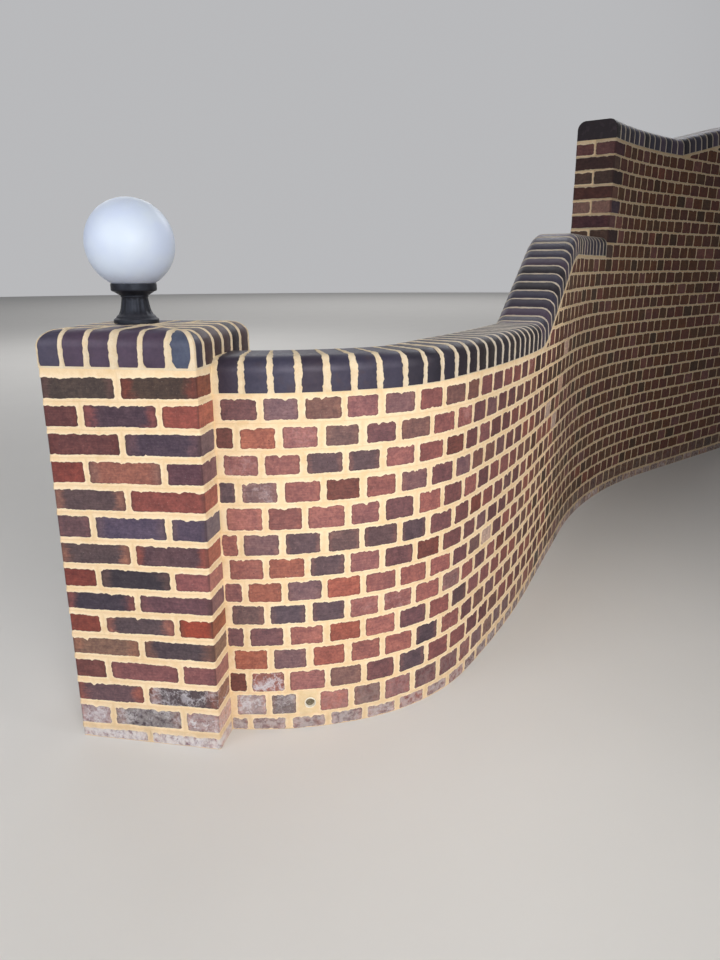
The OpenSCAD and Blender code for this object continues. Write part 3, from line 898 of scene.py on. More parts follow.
class Spine:
    """The coping's run. t is measured at half the coping's height."""

    def __init__(self):
        self.parts, t = [], 0.0
        half = EDGE_H / 2

        def part(kind, length, st0, *more):
            nonlocal t
            self.parts.append((t, length, kind, st0) + more)
            t += length

        part("level", ST_R1, 0.0, LOW)
        for z0, z1, st in ((LOW, MID, ST_R1), (TALL, END, ST_R2)):
            th = slope_of(z0, z1)
            xa = RAMP_R * math.sin(th)
            part("foot", (RAMP_R - half) * th, st, z0, th)
            part("slope", (RAMP_W - 2 * xa) / math.cos(th), st + xa, z0 + RAMP_R * (1 - math.cos(th)), th)
            part("crown", (RAMP_R + half) * th, st + RAMP_W, z1, th)
            if z0 == LOW:
                part("level", SEG_M, ST_M, MID)
                self.t_end1 = t
                part("level", SEG_T, ST_T, TALL)
            else:
                part("level", SEG_E, ST_E, END)
        self.length = t
        self.half = half

    def at(self, t):
        """Outer bottom corner, direction, inward and upward axes at the lengths t, and the two bends."""
        t = np.atleast_1d(np.asarray(t, float))
        starts = np.array([p[0] for p in self.parts])
        k = np.clip(np.searchsorted(starts, t + 1e-9, side="right") - 1, 0, len(starts) - 1)
        st, z, phi, bend = (np.zeros(len(t)) for _ in range(4))
        level = np.zeros(len(t), bool)
        for i in set(k.tolist()):
            m = k == i
            p = self.parts[i]
            d, kind, st0, z0 = t[m] - p[0], p[2], p[3], p[4]
            if kind == "level":
                st[m], z[m], level[m] = st0 + d, z0 - (dip(st0 + d) if st0 == 0 else 0.0), True
            elif kind == "foot":
                f = d / (RAMP_R - self.half)
                st[m], z[m], phi[m], bend[m] = st0 + RAMP_R * np.sin(f), z0 + RAMP_R * (1 - np.cos(f)), f, 1 / RAMP_R
            elif kind == "slope":
                st[m], z[m], phi[m] = st0 + d * math.cos(p[5]), z0 + d * math.sin(p[5]), p[5]
            else:
                f = p[5] - d / (RAMP_R + self.half)
                st[m], z[m], phi[m], bend[m] = st0 - RAMP_R * np.sin(f), z0 - RAMP_R * (1 - np.cos(f)), f, -1 / RAMP_R
        inside = np.clip(st, 0, ST_END - 1e-6)
        x, y, h, _, rad = plan.at(inside)
        c, s = np.cos(h), np.sin(h)
        o = np.stack([x + (st - inside) * c, y + (st - inside) * s, z], 1)
        T0, N0, K = np.stack([c, s, 0 * c], 1), np.stack([-s, c, 0 * c], 1), np.array([0, 0, 1.0])
        cp, sp = np.cos(phi)[:, None], np.sin(phi)[:, None]
        curve = np.where(level & (rad != 0), 1 / np.where(rad == 0, 1.0, rad), 0.0)
        return o, T0 * cp + K * sp, N0, -T0 * sp + K * cp, curve, bend, st


spine = Spine()


def v_stations(fine, v_end=V_ALL, full=True):
    st, ar = (4.6, 12) if fine == 0 else (8.0, 10) if fine == 1 else (14.0, 8)
    parts = [np.linspace(0, V1, max(3, int(V1 / st))), V1 + np.linspace(0, VN, ar + 1)[1:]]
    if full:
        parts += [V1 + VN + np.linspace(0, VF, max(3, int(VF / (st * 1.4))))[1:], V1 + VN + VF + np.linspace(0, VN, ar + 1)[1:],
                  V1 + 2 * VN + VF + np.linspace(0, V1, max(3, int(V1 / (st * 1.3))))[1:]]
    else:
        parts += [np.linspace(V1 + VN, v_end, max(3, int((v_end - V1 - VN) / st)))[1:]]
    return np.concatenate(parts)


# shares of the coping's bricks: near the pier, along the low wall, and from the first ramp on
COPING_SHARES = ((("navy", .5), ("slate", .16), ("dark", .34)), (("dark", .6), ("soot", .4)),
                 (("navy", .36), ("plum", .3), ("violet", .2), ("dark", .14)))
FIRST_COPING = "plum slate slate plum navy navy navy dusky dusky dusky dark dark".split()


def coping_look(rng, kind=None):
    """Slate blue engineering brick, each a little different."""
    base = {None: (72, 68, 86), "violet": (78, 64, 82), "blue": (74, 82, 102), "umber": (74, 56, 56), "navy": (58, 55, 72), "slate": (64, 63, 81),
            "plum": (57, 50, 64), "dusky": (45, 42, 53), "dark": (37, 31, 37), "soot": (38, 29, 29)}
    c = np.array(srgb(*base[kind])) * rng.normal(1, .06)
    return np.append(c, 0.6 * rng.uniform()), np.append(c * 0.85, rng.uniform(0, .5))


def strip(B, on_mortar, on_brick, vs, x0, a, b, x1, lo, hi, rng, look, chart, sheet_uv, left=True, right=True, recess=-0.9, local=1.0, grey=0.0):
    """One coping brick and half a joint on each side. The arrays run along vs; the brick shows from station lo to hi.
    local is how long a unit of the run is at each station: the mortar is set out along the run."""
    K = len(vs)
    seed = int(rng.integers(1, 10 ** 6))
    am, bm = a / local, b / local
    m1, m2 = x0 + .5 * (am - x0), x1 - .5 * (x1 - bm)
    n = np.arange(K)

    def sheet(xs_, offs, which=MORTAR, first=0, last=K - 1, kn=None, kc=(.87, .86, .85, 0), kd=(1, 1, 1, 0), on=on_mortar, soft=True, kl=(0, 0, 0), du=0.0):
        base = []
        sl = slice(first, last + 1)
        for x, o in zip(xs_, offs):
            nn = (.8, grey, 0) if kn is None else np.stack([(x[sl] - kn[0][sl]) / kn[1], kn[2][sl], np.full(last + 1 - first, kn[3])], 1)
            base.append(B.add(on(x[sl], vs[sl], np.broadcast_to(o, (K,))[sl]), np.stack([sheet_uv + x[sl] + du, vs[sl]], 1), nn, kl, kc, kd, chart))
        k = np.arange(last - first)
        for p, q in zip(base[:-1], base[1:]):
            B.quad(np.stack([p + k, q + k, q + k + 1, p + k + 1], 1), which, soft)

    ripple = 0.5 * wave(vs / 30, seed) + 0.3 * wave(vs / 8, seed + 1)
    lip = 0.8 + 0.35 * wave(vs / 9, seed + 2)
    if left:
        sheet([x0, m1, am], [recess, 0.1 + ripple, lip], first=lo, last=hi)
        sheet([am, am + .25], [lip, np.full(K, -2.4)], first=lo, last=hi)
    if right:
        sheet([bm, m2, x1], [lip, 0.1 + ripple, recess], first=lo, last=hi)
        sheet([bm - .25, bm], [np.full(K, -2.4), lip], first=lo, last=hi)
    for f, l in ((0, lo), (hi, K - 1)):
        if l > f:
            sheet([x0, m1, am, bm, m2, x1], [recess, .1, .5, .5, .1, recess], first=f, last=l)
    mid, hw = (a + b) / 2, max(4.0, float(np.max((b - a)[lo:hi + 1])) / 2)
    vn = 2 * (vs - vs[lo]) / max(1.0, vs[hi] - vs[lo]) - 1
    ka, kb = look
    edge = 2.6
    ea, eb = np.minimum(a + edge, mid), np.maximum(b - edge, mid)
    kn = (mid, hw, vn, float(rng.uniform(0, 50)))
    sheet([a - .6, ea, eb, b + .6], [-0.9, 0.0, 0.0, -0.9], COPING, lo, hi, kn, ka, kb, on_brick, True, du=0.0)
    # close the step where the brick starts and stops
    for k, sgn in ((lo, 1), (hi, -1)):
        if (b - a)[k] > 3:
            xs_ = np.linspace(am[k], bm[k], 6)
            vv = np.full(6, vs[k])
            top = B.add(on_mortar(xs_, vv, np.full(6, .5)), np.stack([sheet_uv + xs_, vv], 1), (.8, grey, 0), chart=chart)
            low = B.add(on_mortar(xs_, vv + sgn * .2, np.full(6, -2.4)), np.stack([sheet_uv + xs_, vv + sgn * .3], 1), (.8, grey, 0), chart=chart)
            i = np.arange(5)
            q = np.stack([top + i, top + i + 1, low + i + 1, low + i], 1)
            B.quad(q if sgn > 0 else q[:, ::-1], MORTAR, False)


COPING_NODES = {1: ["low_coping_a", "low_coping_b"], 2: ["low_coping_c", "low_coping_d"],
                3: ["ramp_coping_foot", "ramp_coping_slope", "ramp_coping_crown"], 4: ["mid_coping"],
                5: ["tall_coping_a", "tall_coping_b"], 6: ["high_coping_foot", "high_coping_slope", "high_coping_crown"], 7: ["end_coping"]}
copings = {}


LEVEL_JOINTS = [0, 83, 159, 235, 312, 390, 467, 548, 623, 693, 760, 827, 898, 972, 1045, 1117, 1185, 1250, 1313, 1377, 1443, 1512, 1583, 1654]


def lay_coping(cuts, first_edge, last_edge, seed):
    """Bricks on edge between the joints cuts; an edge of True is a squared end without mortar."""
    t_from, t_to, count = cuts[0], cuts[-1], len(cuts) - 1
    for k, (c0, c1) in enumerate(zip(cuts[:-1], cuts[1:])):
        rng = np.random.default_rng(seed + k)
        joint = float(np.interp(c0, [0, 500, 900, 1500, 1900], [18.0, 17.0, 15.5, 12.0, 8.0]))
        centre, w = (c0 + c1) / 2, c1 - c0 - joint + rng.normal(0, 1.3)
        a0, b0 = centre - w / 2 + rng.normal(0, .8), centre + w / 2 + rng.normal(0, .8)
        if k == 0:
            a0 = c0 if first_edge else c0 + 18.0
        if k == count - 1:
            b0 = c1 if last_edge else c1 - 12.0
        tc = (a0 + b0) / 2
        o, T, N, U, sq, bend, st = (q[0] for q in spine.at(tc))
        piece = 1 + sum(st >= e for e in (ST_C, ST_R1, ST_M, ST_T - .01, ST_R2, ST_E))
        B = copings.setdefault(piece, Build())
        fine = 0 if st < 1500 else 1 if st < 3300 else 2
        vs = v_stations(fine)
        y, h, ny, nh = section(vs)
        local = 1 - sq * y                             # plan curve: shorter towards the inner side
        local = local * ((1 - bend * h) / (1 - bend * spine.half) if bend else 1.0)
        room = (c1 - c0) * local
        half = np.minimum((b0 - a0) / 2, room / 2 - 3.2)
        if (k == 0 and first_edge) or (k == count - 1 and last_edge):
            half = np.full(len(vs), (b0 - a0) / 2)
        rag = 1.0 if fine == 0 else 0.6
        sd = int(rng.integers(1, 10 ** 6))
        off_c = tc - (c0 + c1) / 2
        ra = rag * (1.6 * wave(vs / 14, sd) + 1.9 * wave(vs / 5.1, sd + 1) + 1.6 * np.maximum(0, wave(vs / 17, sd + 2)))
        rb = rag * (1.6 * wave(vs / 14, sd + 3) + 1.9 * wave(vs / 5.1, sd + 4) + 1.6 * np.maximum(0, wave(vs / 17, sd + 5)))
        sq_l, sq_r = (k == 0 and first_edge), (k == count - 1 and last_edge)
        a = -half + (0 if sq_l else ra)
        b = half - (0 if sq_r else rb)
        # cell edges and brick edges as distances along the run at half height
        x0, x1 = np.full(len(vs), c0 - tc), np.full(len(vs), c1 - tc)

        def on_brick(x, v, off):
            y, h, ny, nh = section(v)
            return (o[None] + np.outer(x, T) + np.outer(y + ny * off, N) + np.outer(h + nh * off, U))

        def on_mortar(x, v, off):
            y, h, ny, nh = section(v)
            q, _, N2, U2, _, _, _ = spine.at(np.clip(tc + x, t_from + 1e-6, t_to - 1e-6))
            return q + (y + ny * off)[:, None] * N2 + (h + nh * off)[:, None] * U2

        share = COPING_SHARES[0 if st < 450 else 1 if st < ST_R1 else 2]
        kind = pick(share, rng.uniform())
        if sq_l:
            kind = "soot"
        elif k < len(FIRST_COPING) and not first_edge:
            kind = FIRST_COPING[k]
        look = coping_look(rng, kind)
        lo = 1 if vs[1] > 3 else 2
        hi = len(vs) - 2
        vs2 = vs.copy()
        vs2[lo], vs2[hi] = 1.6 + rng.uniform(-1, 1), V_ALL - 2.5
        strip(B, on_mortar, on_brick, vs2, x0, a, b, x1, lo, hi, rng, look, "a", tc, left=not sq_l, right=not sq_r, local=local,
              grey=0.75 * float(smooth(300, 1100, st)))
        for is_end, x in ((sq_l, a0 - tc), (sq_r, b0 - tc)):
            if is_end:
                ve = v_stations(0)
                rim = B.add(on_brick(np.full(len(ve), x), ve, np.full(len(ve), -1.2)), np.stack([y_ + 40 for y_ in section(ve)[:2]], 1) + [[-3000, 500]],
                            np.stack([np.zeros(len(ve)), np.linspace(-1, 1, len(ve)), np.full(len(ve), 3.0)], 1), (0, 0, 0), look[0], look[1], "cap")
                inner = B.add(on_brick(np.full(len(ve), x + (-2.2 if is_end and x < 0 else 2.2) * 0 + (-1.6 if x < 0 else 1.6)), ve, np.full(len(ve), -4.0)),
                              np.stack([y_ + 40 for y_ in section(ve)[:2]], 1) + [[-3000, 500]],
                              np.stack([np.zeros(len(ve)), np.linspace(-1, 1, len(ve)), np.full(len(ve), 3.0)], 1), (0, 0, 0), look[0], look[1], "cap")
                i = np.arange(len(ve) - 1)
                q = np.stack([rim + i, rim + i + 1, inner + i + 1, inner + i], 1)
                B.quad(q if x < 0 else q[:, ::-1], COPING, True)
                g = [inner + i for i in range(len(ve))]
                B.gon(g if x < 0 else g[::-1], COPING)


lay_coping([float(q) for q in LEVEL_JOINTS[:-1]] + list(np.linspace(ST_R1, spine.t_end1, 24)), False, False, 3000)
lay_coping(list(np.linspace(spine.t_end1, spine.length, 1 + int(round((spine.length - spine.t_end1) / 72.0)))), True, True, 4000)

# the step of the squared end above the level coping is closed by the end brick itself


# ---- pier cap ---------------------------------------------------------------------------
CAP_NODES = ["pier_cap_front", "pier_cap_right", "pier_cap_back", "pier_cap_left"]
# joint edges of the six bricks of each side, from its left corner to its right, and the mitres
CAP_ROWS = [
    ([(-216, -156), (-144, -86), (-71, -14), (9, 66), (79, 139), (156, 220)], 4.0, 11.0, [None, "violet", "violet", "violet", "violet", "blue"]),
    ([(-220, -164), (-152, -92), (-80, -22), (-7, 52), (66, 127), (143, 220)], 9.0, 11.0, ["navy", "umber", "umber", "umber", "dark", "umber"]),
    ([(-220, -160), (-147, -88), (-73, -15), (-2, 57), (73, 131), (146, 220)], 12.0, 12.0, [None] * 6),
    ([(-220, -162), (-150, -91), (-76, -18), (-4, 56), (70, 130), (145, 220)], 12.0, 6.0, [None] * 6),
]


def lay_cap(B):
    W = PIER_W / 2
    for side, (bricks, g0, g1, kinds) in enumerate(CAP_ROWS):
        c, s = math.cos(side * math.pi / 2), math.sin(side * math.pi / 2)
        edges = [-W] + [(p[1] + q[0]) / 2 for p, q in zip(bricks[:-1], bricks[1:])] + [W]
        for k, (p, q) in enumerate(bricks):
            rng = np.random.default_rng(6000 + side * 10 + k)
            e0, e1 = edges[k], edges[k + 1]
            y_end = W - max(0.0, min(abs(e0), abs(e1)) if e0 * e1 > 0 else 0.0)
            fine = 0 if side < 2 else 1
            v_end = V1 + VN + max(0.0, y_end - NOSE)
            if y_end <= NOSE + 1:
                # the corner brick ends on the nose
                ph = math.acos(max(-1.0, 1 - y_end / NOSE))
                vs = np.concatenate([np.linspace(0, V1, 14), V1 + np.linspace(0, ph * NOSE, 12)[1:]])
            else:
                vs = v_stations(fine, v_end, False)
            y, h, ny, nh = section(np.minimum(vs, V1 + VN + VF))
            y = np.where(vs > V1 + VN, NOSE + (vs - V1 - VN), y)
            x0, x1 = np.maximum(e0, -(W - y)), np.minimum(e1, W - y)
            sd = int(rng.integers(1, 10 ** 6))
            jag = 1.0 + (1.0 if side == 0 and k == 5 else 0.0)
            ra = jag * (1.2 * wave(vs / 11, sd) + 1.0 * wave(vs / 4.6, sd + 1))
            rb = 1.2 * wave(vs / 11, sd + 3) + 1.0 * wave(vs / 4.6, sd + 4)
            a = np.maximum(p + ra, -(W - y) + g0) if k == 0 else np.maximum(p + ra, -(W - y) + g0 * 0.75)
            b = np.minimum(q - rb, (W - y) - g1) if k == 5 else np.minimum(q - rb, (W - y) - g1 * 0.75)
            # worn lower corners
            w0, w1 = rng.uniform(1, 4), rng.uniform(1, 4)
            if side == 0 and k == 5:
                w0, w1 = 12.0, 9.0
            if side == 0 and k == 4:
                w0 = 9.0
            reach = 34 if side == 0 and k == 5 else 15
            a = a + w0 * (1 - smooth(3, reach, vs))
            b = b - w1 * (1 - smooth(3, reach, vs))
            x1 = np.maximum(x1, x0)
            shown = (b - a > 2.5) & (vs > 3.5)
            lo = int(np.argmax(shown))
            hi = len(vs) - 1 - int(np.argmax(shown[::-1]))
            cut = np.arange(len(vs))
            mid = np.clip((a + b) / 2, x0, x1)
            a = np.where(b - a < 2.5, mid - 0.6, a)
            b = np.where(b - a < 2.5, mid + 0.6, b)
            a, b = np.clip(a, x0, x1), np.clip(b, x0, x1)
            vs2 = vs.copy()
            vs2[lo] = max(vs2[lo], 4.2 + rng.uniform(-.8, .8)) if lo < 3 else vs2[lo]

            def place(x, v, off, c=c, s=s):
                vv = np.minimum(v, V1 + VN + VF)
                y, h, ny, nh = section(vv)
                y = np.where(v > V1 + VN, NOSE + (v - V1 - VN), y)
                lx, ly, lz = x, -W + y + ny * off, PIER_Z + h + nh * off
                # at a corner the sheet stops on the mitre
                return np.stack([lx * c - ly * s, lx * s + ly * c, lz], 1)

            strip(B, place, place, vs2, x0, a, b, x1, lo, hi, rng, coping_look(rng, kinds[k]), f"s{side}", 0.0, recess=-0.5, grey=0.15)


cap = Build()
lay_cap(cap)


# ---- materials ---------------------------------------------------------------------------
class Mat:
    def __init__(self, name):
        self.m = bpy.data.materials.new(name)
        self.m.use_nodes = True
        self.t = self.m.node_tree
        self.b = self.t.nodes["Principled BSDF"]

    def node(self, kind, **kw):
        n = self.t.nodes.new(kind)
        for k, v in kw.items():
            if hasattr(n, k):
                setattr(n, k, v)
            else:
                n.inputs[k.replace("_", " ")].default_value = v
        return n

    def link(self, a, b):
        self.t.links.new(a, b)

    def attr(self, name):
        return self.node("ShaderNodeAttribute", attribute_name=name)

    def noise(self, vec, scale, detail=2.0, rough=0.5, w=None):
        n = self.t.nodes.new("ShaderNodeTexNoise")
        n.inputs["Scale"].default_value = scale
        n.inputs["Detail"].default_value = detail
        n.inputs["Roughness"].default_value = rough
        if w is not None:
            n.noise_dimensions = "4D"
            self.link(w, n.inputs["W"])
        if vec is not None:
            self.link(vec, n.inputs["Vector"])
        return n.outputs["Fac"]

    def math(self, op, a, b=None, c=None, clamp=False):
        n = self.t.nodes.new("ShaderNodeMath")
        n.operation = op
        n.use_clamp = clamp
        for i, x in enumerate((a, b, c)):
            if x is None:
                continue
            if isinstance(x, (int, float)):
                n.inputs[i].default_value = x
            else:
                self.link(x, n.inputs[i])
        return n.outputs[0]

    def ramp(self, x, a, b, lo=0.0, hi=1.0):
        n = self.t.nodes.new("ShaderNodeMapRange")
        n.interpolation_type = "SMOOTHSTEP"
        for k, val in (("From Min", a), ("From Max", b), ("To Min", lo), ("To Max", hi)):
            n.inputs[k].default_value = val
        self.link(x, n.inputs["Value"])
        return n.outputs["Result"]

    def mix(self, fac, a, b, mode="MIX"):
        n = self.t.nodes.new("ShaderNodeMix")
        n.data_type = "RGBA"
        n.blend_type = mode
        n.clamp_factor = True
        f, x, y = n.inputs[0], n.inputs[6], n.inputs[7]
        for sock, val in ((f, fac), (x, a), (y, b)):
            if isinstance(val, (int, float)):
                sock.default_value = val
            elif isinstance(val, (tuple, list)):
                sock.default_value = (*val, 1.0)[:4]
            else:
                self.link(val, sock)
        return n.outputs[2]

    def scale(self, vec, s):
        n = self.t.nodes.new("ShaderNodeVectorMath")
        n.operation = "MULTIPLY"
        n.inputs[1].default_value = s
        self.link(vec, n.inputs[0])
        return n.outputs[0]

    def xyz(self, vec):
        n = self.t.nodes.new("ShaderNodeSeparateXYZ")
        self.link(vec, n.inputs[0])
        return n.outputs

    def bump(self, height, strength, distance, prev=None):
        n = self.t.nodes.new("ShaderNodeBump")
        n.inputs["Strength"].default_value = strength
        n.inputs["Distance"].default_value = distance
        self.link(height, n.inputs["Height"])
        if prev is not None:
            self.link(prev, n.inputs["Normal"])
        return n.outputs["Normal"]


def brick_material():
    m = Mat("facing_brick")
    pos = m.node("ShaderNodeTexCoord").outputs["Object"]
    kn, kl, kc, kd = m.attr("kn"), m.attr("kl"), m.attr("kc"), m.attr("kd")
    u, v, seed = m.xyz(kn.outputs["Vector"])
    _, _, grime = m.xyz(kl.outputs["Vector"])
    flash, salt = kc.outputs["Alpha"], kd.outputs["Alpha"]
    big = m.noise(pos, 26, 2, .55, seed)
    fine = m.noise(pos, 150, 3, .6, seed)
    grain = m.noise(pos, 900, 2, .6)
    streak = m.noise(m.scale(kl.outputs["Vector"], (2.2, 26.0, 1.0)), 1.0, 3, .6, seed)
    # burnt middle with a wandering edge
    au, av = m.math("ABSOLUTE", u), m.math("ABSOLUTE", v)
    reach = m.math("MAXIMUM", au, m.math("MULTIPLY", av, 0.62))
    reach = m.math("ADD", reach, m.math("MULTIPLY", m.math("SUBTRACT", big, 0.5), 0.6))
    reach = m.math("ADD", reach, m.math("MULTIPLY", m.math("SUBTRACT", streak, 0.5), 0.3))
    core = m.math("MULTIPLY", m.ramp(reach, 0.6, 0.93, 1.0, 0.0), flash)
    col = m.mix(core, kc.outputs["Color"], kd.outputs["Color"])
    # blotches and drag marks
    col = m.mix(1.0, col, m.mix(m.ramp(big, .3, .7), (0.86, 0.86, 0.89), (1.12, 1.09, 1.06)), "MULTIPLY")
    col = m.mix(1.0, col, m.mix(m.ramp(streak, .3, .72), (0.86, 0.86, 0.88), (1.12, 1.12, 1.1)), "MULTIPLY")
    col = m.mix(1.0, col, m.mix(m.ramp(fine, .32, .7), (0.82, 0.81, 0.83), (1.16, 1.16, 1.15)), "MULTIPLY")
    patch = m.noise(pos, 72, 3, .6, seed)
    col = m.mix(1.0, col, m.mix(m.ramp(patch, .34, .66), (0.86, 0.85, 0.88), (1.12, 1.12, 1.1)), "MULTIPLY")
    # the ends of bricks that turn a corner are a shade lighter
    col = m.mix(m.ramp(au, 1.02, 1.12), col, m.mix(1.0, col, (1.62, 1.92, 1.66), "MULTIPLY"))
    # dark burnt specks and pale lime specks
    speck = m.noise(pos, 210, 1.0, .5, seed)
    col = m.mix(m.ramp(speck, .71, .76, 0, .65), col, (0.03, 0.022, 0.024))
    lime = m.noise(pos, 330, 2.0, .6, seed)
    col = m.mix(m.math("MULTIPLY", m.ramp(lime, .64, .74), m.math("ADD", salt, 0.12), clamp=True), col, (0.62, 0.55, 0.50))
    # salts in patches towards the middle of the brick
    cloud = m.math("ADD", m.noise(pos, 26, 5, .62, seed), m.math("MULTIPLY", fine, 0.22))
    cloud = m.math("SUBTRACT", cloud, m.math("MULTIPLY", m.math("MAXIMUM", m.math("MULTIPLY", au, .8), av), 0.10))
    heavy = m.math("MULTIPLY", m.math("SUBTRACT", salt, 0.25, clamp=True), 1.25)
    col = m.mix(m.math("MULTIPLY", m.ramp(cloud, .53, .72), heavy, clamp=True), col, (0.57, 0.55, 0.60))
    vein = m.math("ABSOLUTE", m.math("SUBTRACT", m.noise(pos, 34, 3, .6, seed), 0.5))
    vein = m.math("MULTIPLY", m.ramp(vein, .0, .045, 1, 0), m.ramp(cloud, .44, .6))
    col = m.mix(m.math("MULTIPLY", vein, m.math("MULTIPLY", heavy, 1.1), clamp=True), col, (0.60, 0.58, 0.62))
    # the arrises are darkened all round: painted shade, as if cast by the proud mortar
    arris_shade_u = m.math("MULTIPLY", m.ramp(au, .88, 1.0), m.ramp(au, 1.01, 1.05, 1, 0))
    rim = m.math("MAXIMUM", arris_shade_u, m.ramp(av, .84, 1.0))
    rim = m.math("MULTIPLY", rim, m.ramp(fine, .2, .7, .5, 1.0))
    col = m.mix(m.math("MULTIPLY", rim, .5), col, (0.05, 0.033, 0.03))
    # thin film of mortar near the upper edge
    film = m.math("ADD", v, m.math("MULTIPLY", m.math("SUBTRACT", fine, .5), .9))
    col = m.mix(m.ramp(film, .95, 1.35, 0, .3), col, (0.74, 0.58, 0.38))
    # soil and cement splashed on the lowest bricks
    dirt = m.math("MULTIPLY", grime, m.ramp(m.noise(pos, 60, 4, .65), .32, .62))
    col = m.mix(dirt, col, (0.72, 0.68, 0.67))
    m.link(col, m.b.inputs["Base Color"])
    m.link(m.ramp(fine, .3, .8, .72, .92), m.b.inputs["Roughness"])
    m.b.inputs["Specular IOR Level"].default_value = 0.35
    hgt = m.math("ADD", m.math("MULTIPLY", fine, .6), m.math("MULTIPLY", streak, .5))
    hgt = m.math("ADD", hgt, m.math("MULTIPLY", grain, .25))
    hgt = m.math("SUBTRACT", hgt, m.ramp(speck, .69, .76, 0, .5))
    m.link(m.bump(hgt, .55, .0014), m.b.inputs["Normal"])
    return m.m


def mortar_material():
    m = Mat("mortar")
    pos = m.node("ShaderNodeTexCoord").outputs["Object"]
    kc, kn = m.attr("kc"), m.attr("kn")
    grime = kc.outputs["Alpha"]
    lip, grey, line = m.xyz(kn.outputs["Vector"])
    big = m.noise(pos, 9, 3, .6)
    mid = m.noise(pos, 55, 3, .6)
    fine = m.noise(pos, 480, 3, .65)
    sand = m.noise(pos, 1500, 1, .5)
    col = m.mix(m.ramp(big, .3, .7), (0.84, 0.64, 0.38), (0.92, 0.75, 0.50))
    col = m.mix(m.ramp(mid, .35, .72, 0, .5), col, (0.95, 0.81, 0.59))
    # lighter along the proud lip against the bricks, a painted highlight; browner along the middle of a joint, painted
    # shade
    edge = m.math("ADD", lip, m.math("MULTIPLY", m.math("SUBTRACT", mid, .5), .8))
    col = m.mix(m.ramp(edge, .45, 1.0, .0, .55), col, (0.97, 0.85, 0.65))
    col = m.mix(m.ramp(edge, .0, .5, .35, .0), col, (0.77, 0.57, 0.32))
    col = m.mix(m.ramp(m.noise(pos, 90, 3, .7), .6, .8, 0, .45), col, (0.62, 0.43, 0.22))
    col = m.mix(m.ramp(fine, .3, .75, 0, .2), col, (0.52, 0.36, 0.19))
    col = m.mix(m.math("MULTIPLY", m.ramp(line, .72, .98, 0, .55), m.ramp(mid, .3, .6)), col, (0.50, 0.34, 0.17))
    # weathered grey on the exposed coping
    col = m.mix(m.math("MULTIPLY", grey, m.ramp(mid, .2, .7, .7, 1.0), clamp=True), col, (0.60, 0.56, 0.52))
    z = m.xyz(pos)[2]
    near_ground = m.math("MULTIPLY", m.ramp(z, 0.02, 0.16, 1, 0), m.ramp(m.noise(pos, 30, 4, .6), .35, .65))
    col = m.mix(m.math("MULTIPLY", m.math("ADD", near_ground, grime), .26, clamp=True), col, (0.50, 0.39, 0.26))
    # kc's colour scales the mortar: a little darker on the copings, and darker along the tall walls as part dirt, part
    # painted shade
    col = m.mix(1.0, col, kc.outputs["Color"], "MULTIPLY")
    m.link(col, m.b.inputs["Base Color"])
    m.b.inputs["Roughness"].default_value = 0.93
    m.b.inputs["Specular IOR Level"].default_value = 0.2
    hgt = m.math("ADD", m.math("MULTIPLY", mid, .8), m.math("MULTIPLY", fine, .3))
    hgt = m.math("ADD", hgt, m.math("MULTIPLY", sand, .15))
    m.link(m.bump(hgt, .6, .0016), m.b.inputs["Normal"])
    return m.m


def coping_material():
    m = Mat("blue_brick")
    pos = m.node("ShaderNodeTexCoord").outputs["Object"]
    kn, kc, kd = m.attr("kn"), m.attr("kc"), m.attr("kd")
    u, v, seed = m.xyz(kn.outputs["Vector"])
    big = m.noise(pos, 22, 2, .55, seed)
    mid = m.noise(pos, 120, 3, .6, seed)
    fine = m.noise(pos, 700, 2, .6)
    col = m.mix(m.ramp(big, .3, .7), kc.outputs["Color"], kd.outputs["Color"])
    col = m.mix(1.0, col, m.mix(m.ramp(mid, .3, .72), (0.84, 0.84, 0.88), (1.14, 1.12, 1.08)), "MULTIPLY")
    # rusty and violet cast in places
    col = m.mix(m.math("MULTIPLY", m.ramp(m.noise(pos, 34, 2, .5, seed), .52, .72), kc.outputs["Alpha"]), col, (0.062, 0.040, 0.048))
    # pale scuffs and a cement haze along the joints
    scuff = m.noise(pos, 260, 4, .7, seed)
    col = m.mix(m.ramp(scuff, .66, .78, 0, .4), col, (0.34, 0.33, 0.34))
    au = m.math("ABSOLUTE", u)
    haze = m.math("ADD", au, m.math("MULTIPLY", m.math("SUBTRACT", mid, .5), .7))
    col = m.mix(m.ramp(haze, .93, 1.2, 0, .4), col, (0.62, 0.52, 0.38))
    m.link(col, m.b.inputs["Base Color"])
    rough = m.math("ADD", m.ramp(mid, .3, .7, .42, .56), m.ramp(scuff, .6, .8, 0, .25))
    m.link(rough, m.b.inputs["Roughness"])
    m.b.inputs["Specular IOR Level"].default_value = 0.48
    m.b.inputs["Specular Tint"].default_value = (0.92, 0.86, 1.0, 1.0)
    hgt = m.math("ADD", m.math("MULTIPLY", mid, .7), m.math("MULTIPLY", fine, .15))
    hgt = m.math("ADD", hgt, m.math("MULTIPLY", big, 1.2))
    m.link(m.bump(hgt, .35, .0012), m.b.inputs["Normal"])
    return m.m


def lamp_black_material():
    m = Mat("lamp_black")
    pos = m.node("ShaderNodeTexCoord").outputs["Object"]
    big, fine = m.noise(pos, 30, 3, .6), m.noise(pos, 900, 2, .6)
    col = m.mix(m.ramp(big, .35, .75), (0.016, 0.016, 0.020), (0.028, 0.030, 0.037))
    # dust lying on upward faces
    geo = m.node("ShaderNodeNewGeometry")
    up = m.xyz(geo.outputs["Normal"])[2]
    dust = m.math("MULTIPLY", m.ramp(up, .3, .95), m.ramp(m.noise(pos, 70, 4, .65), .3, .7, .15, .5))
    col = m.mix(dust, col, (0.09, 0.09, 0.11))
    m.link(col, m.b.inputs["Base Color"])
    m.link(m.ramp(m.noise(pos, 200, 3, .6), .3, .7, .36, .52), m.b.inputs["Roughness"])
    m.b.inputs["Specular IOR Level"].default_value = 0.3
    m.b.inputs["Specular Tint"].default_value = (0.66, 0.76, 1.0, 1.0)
    m.link(m.bump(fine, .25, .0004), m.b.inputs["Normal"])
    return m.m


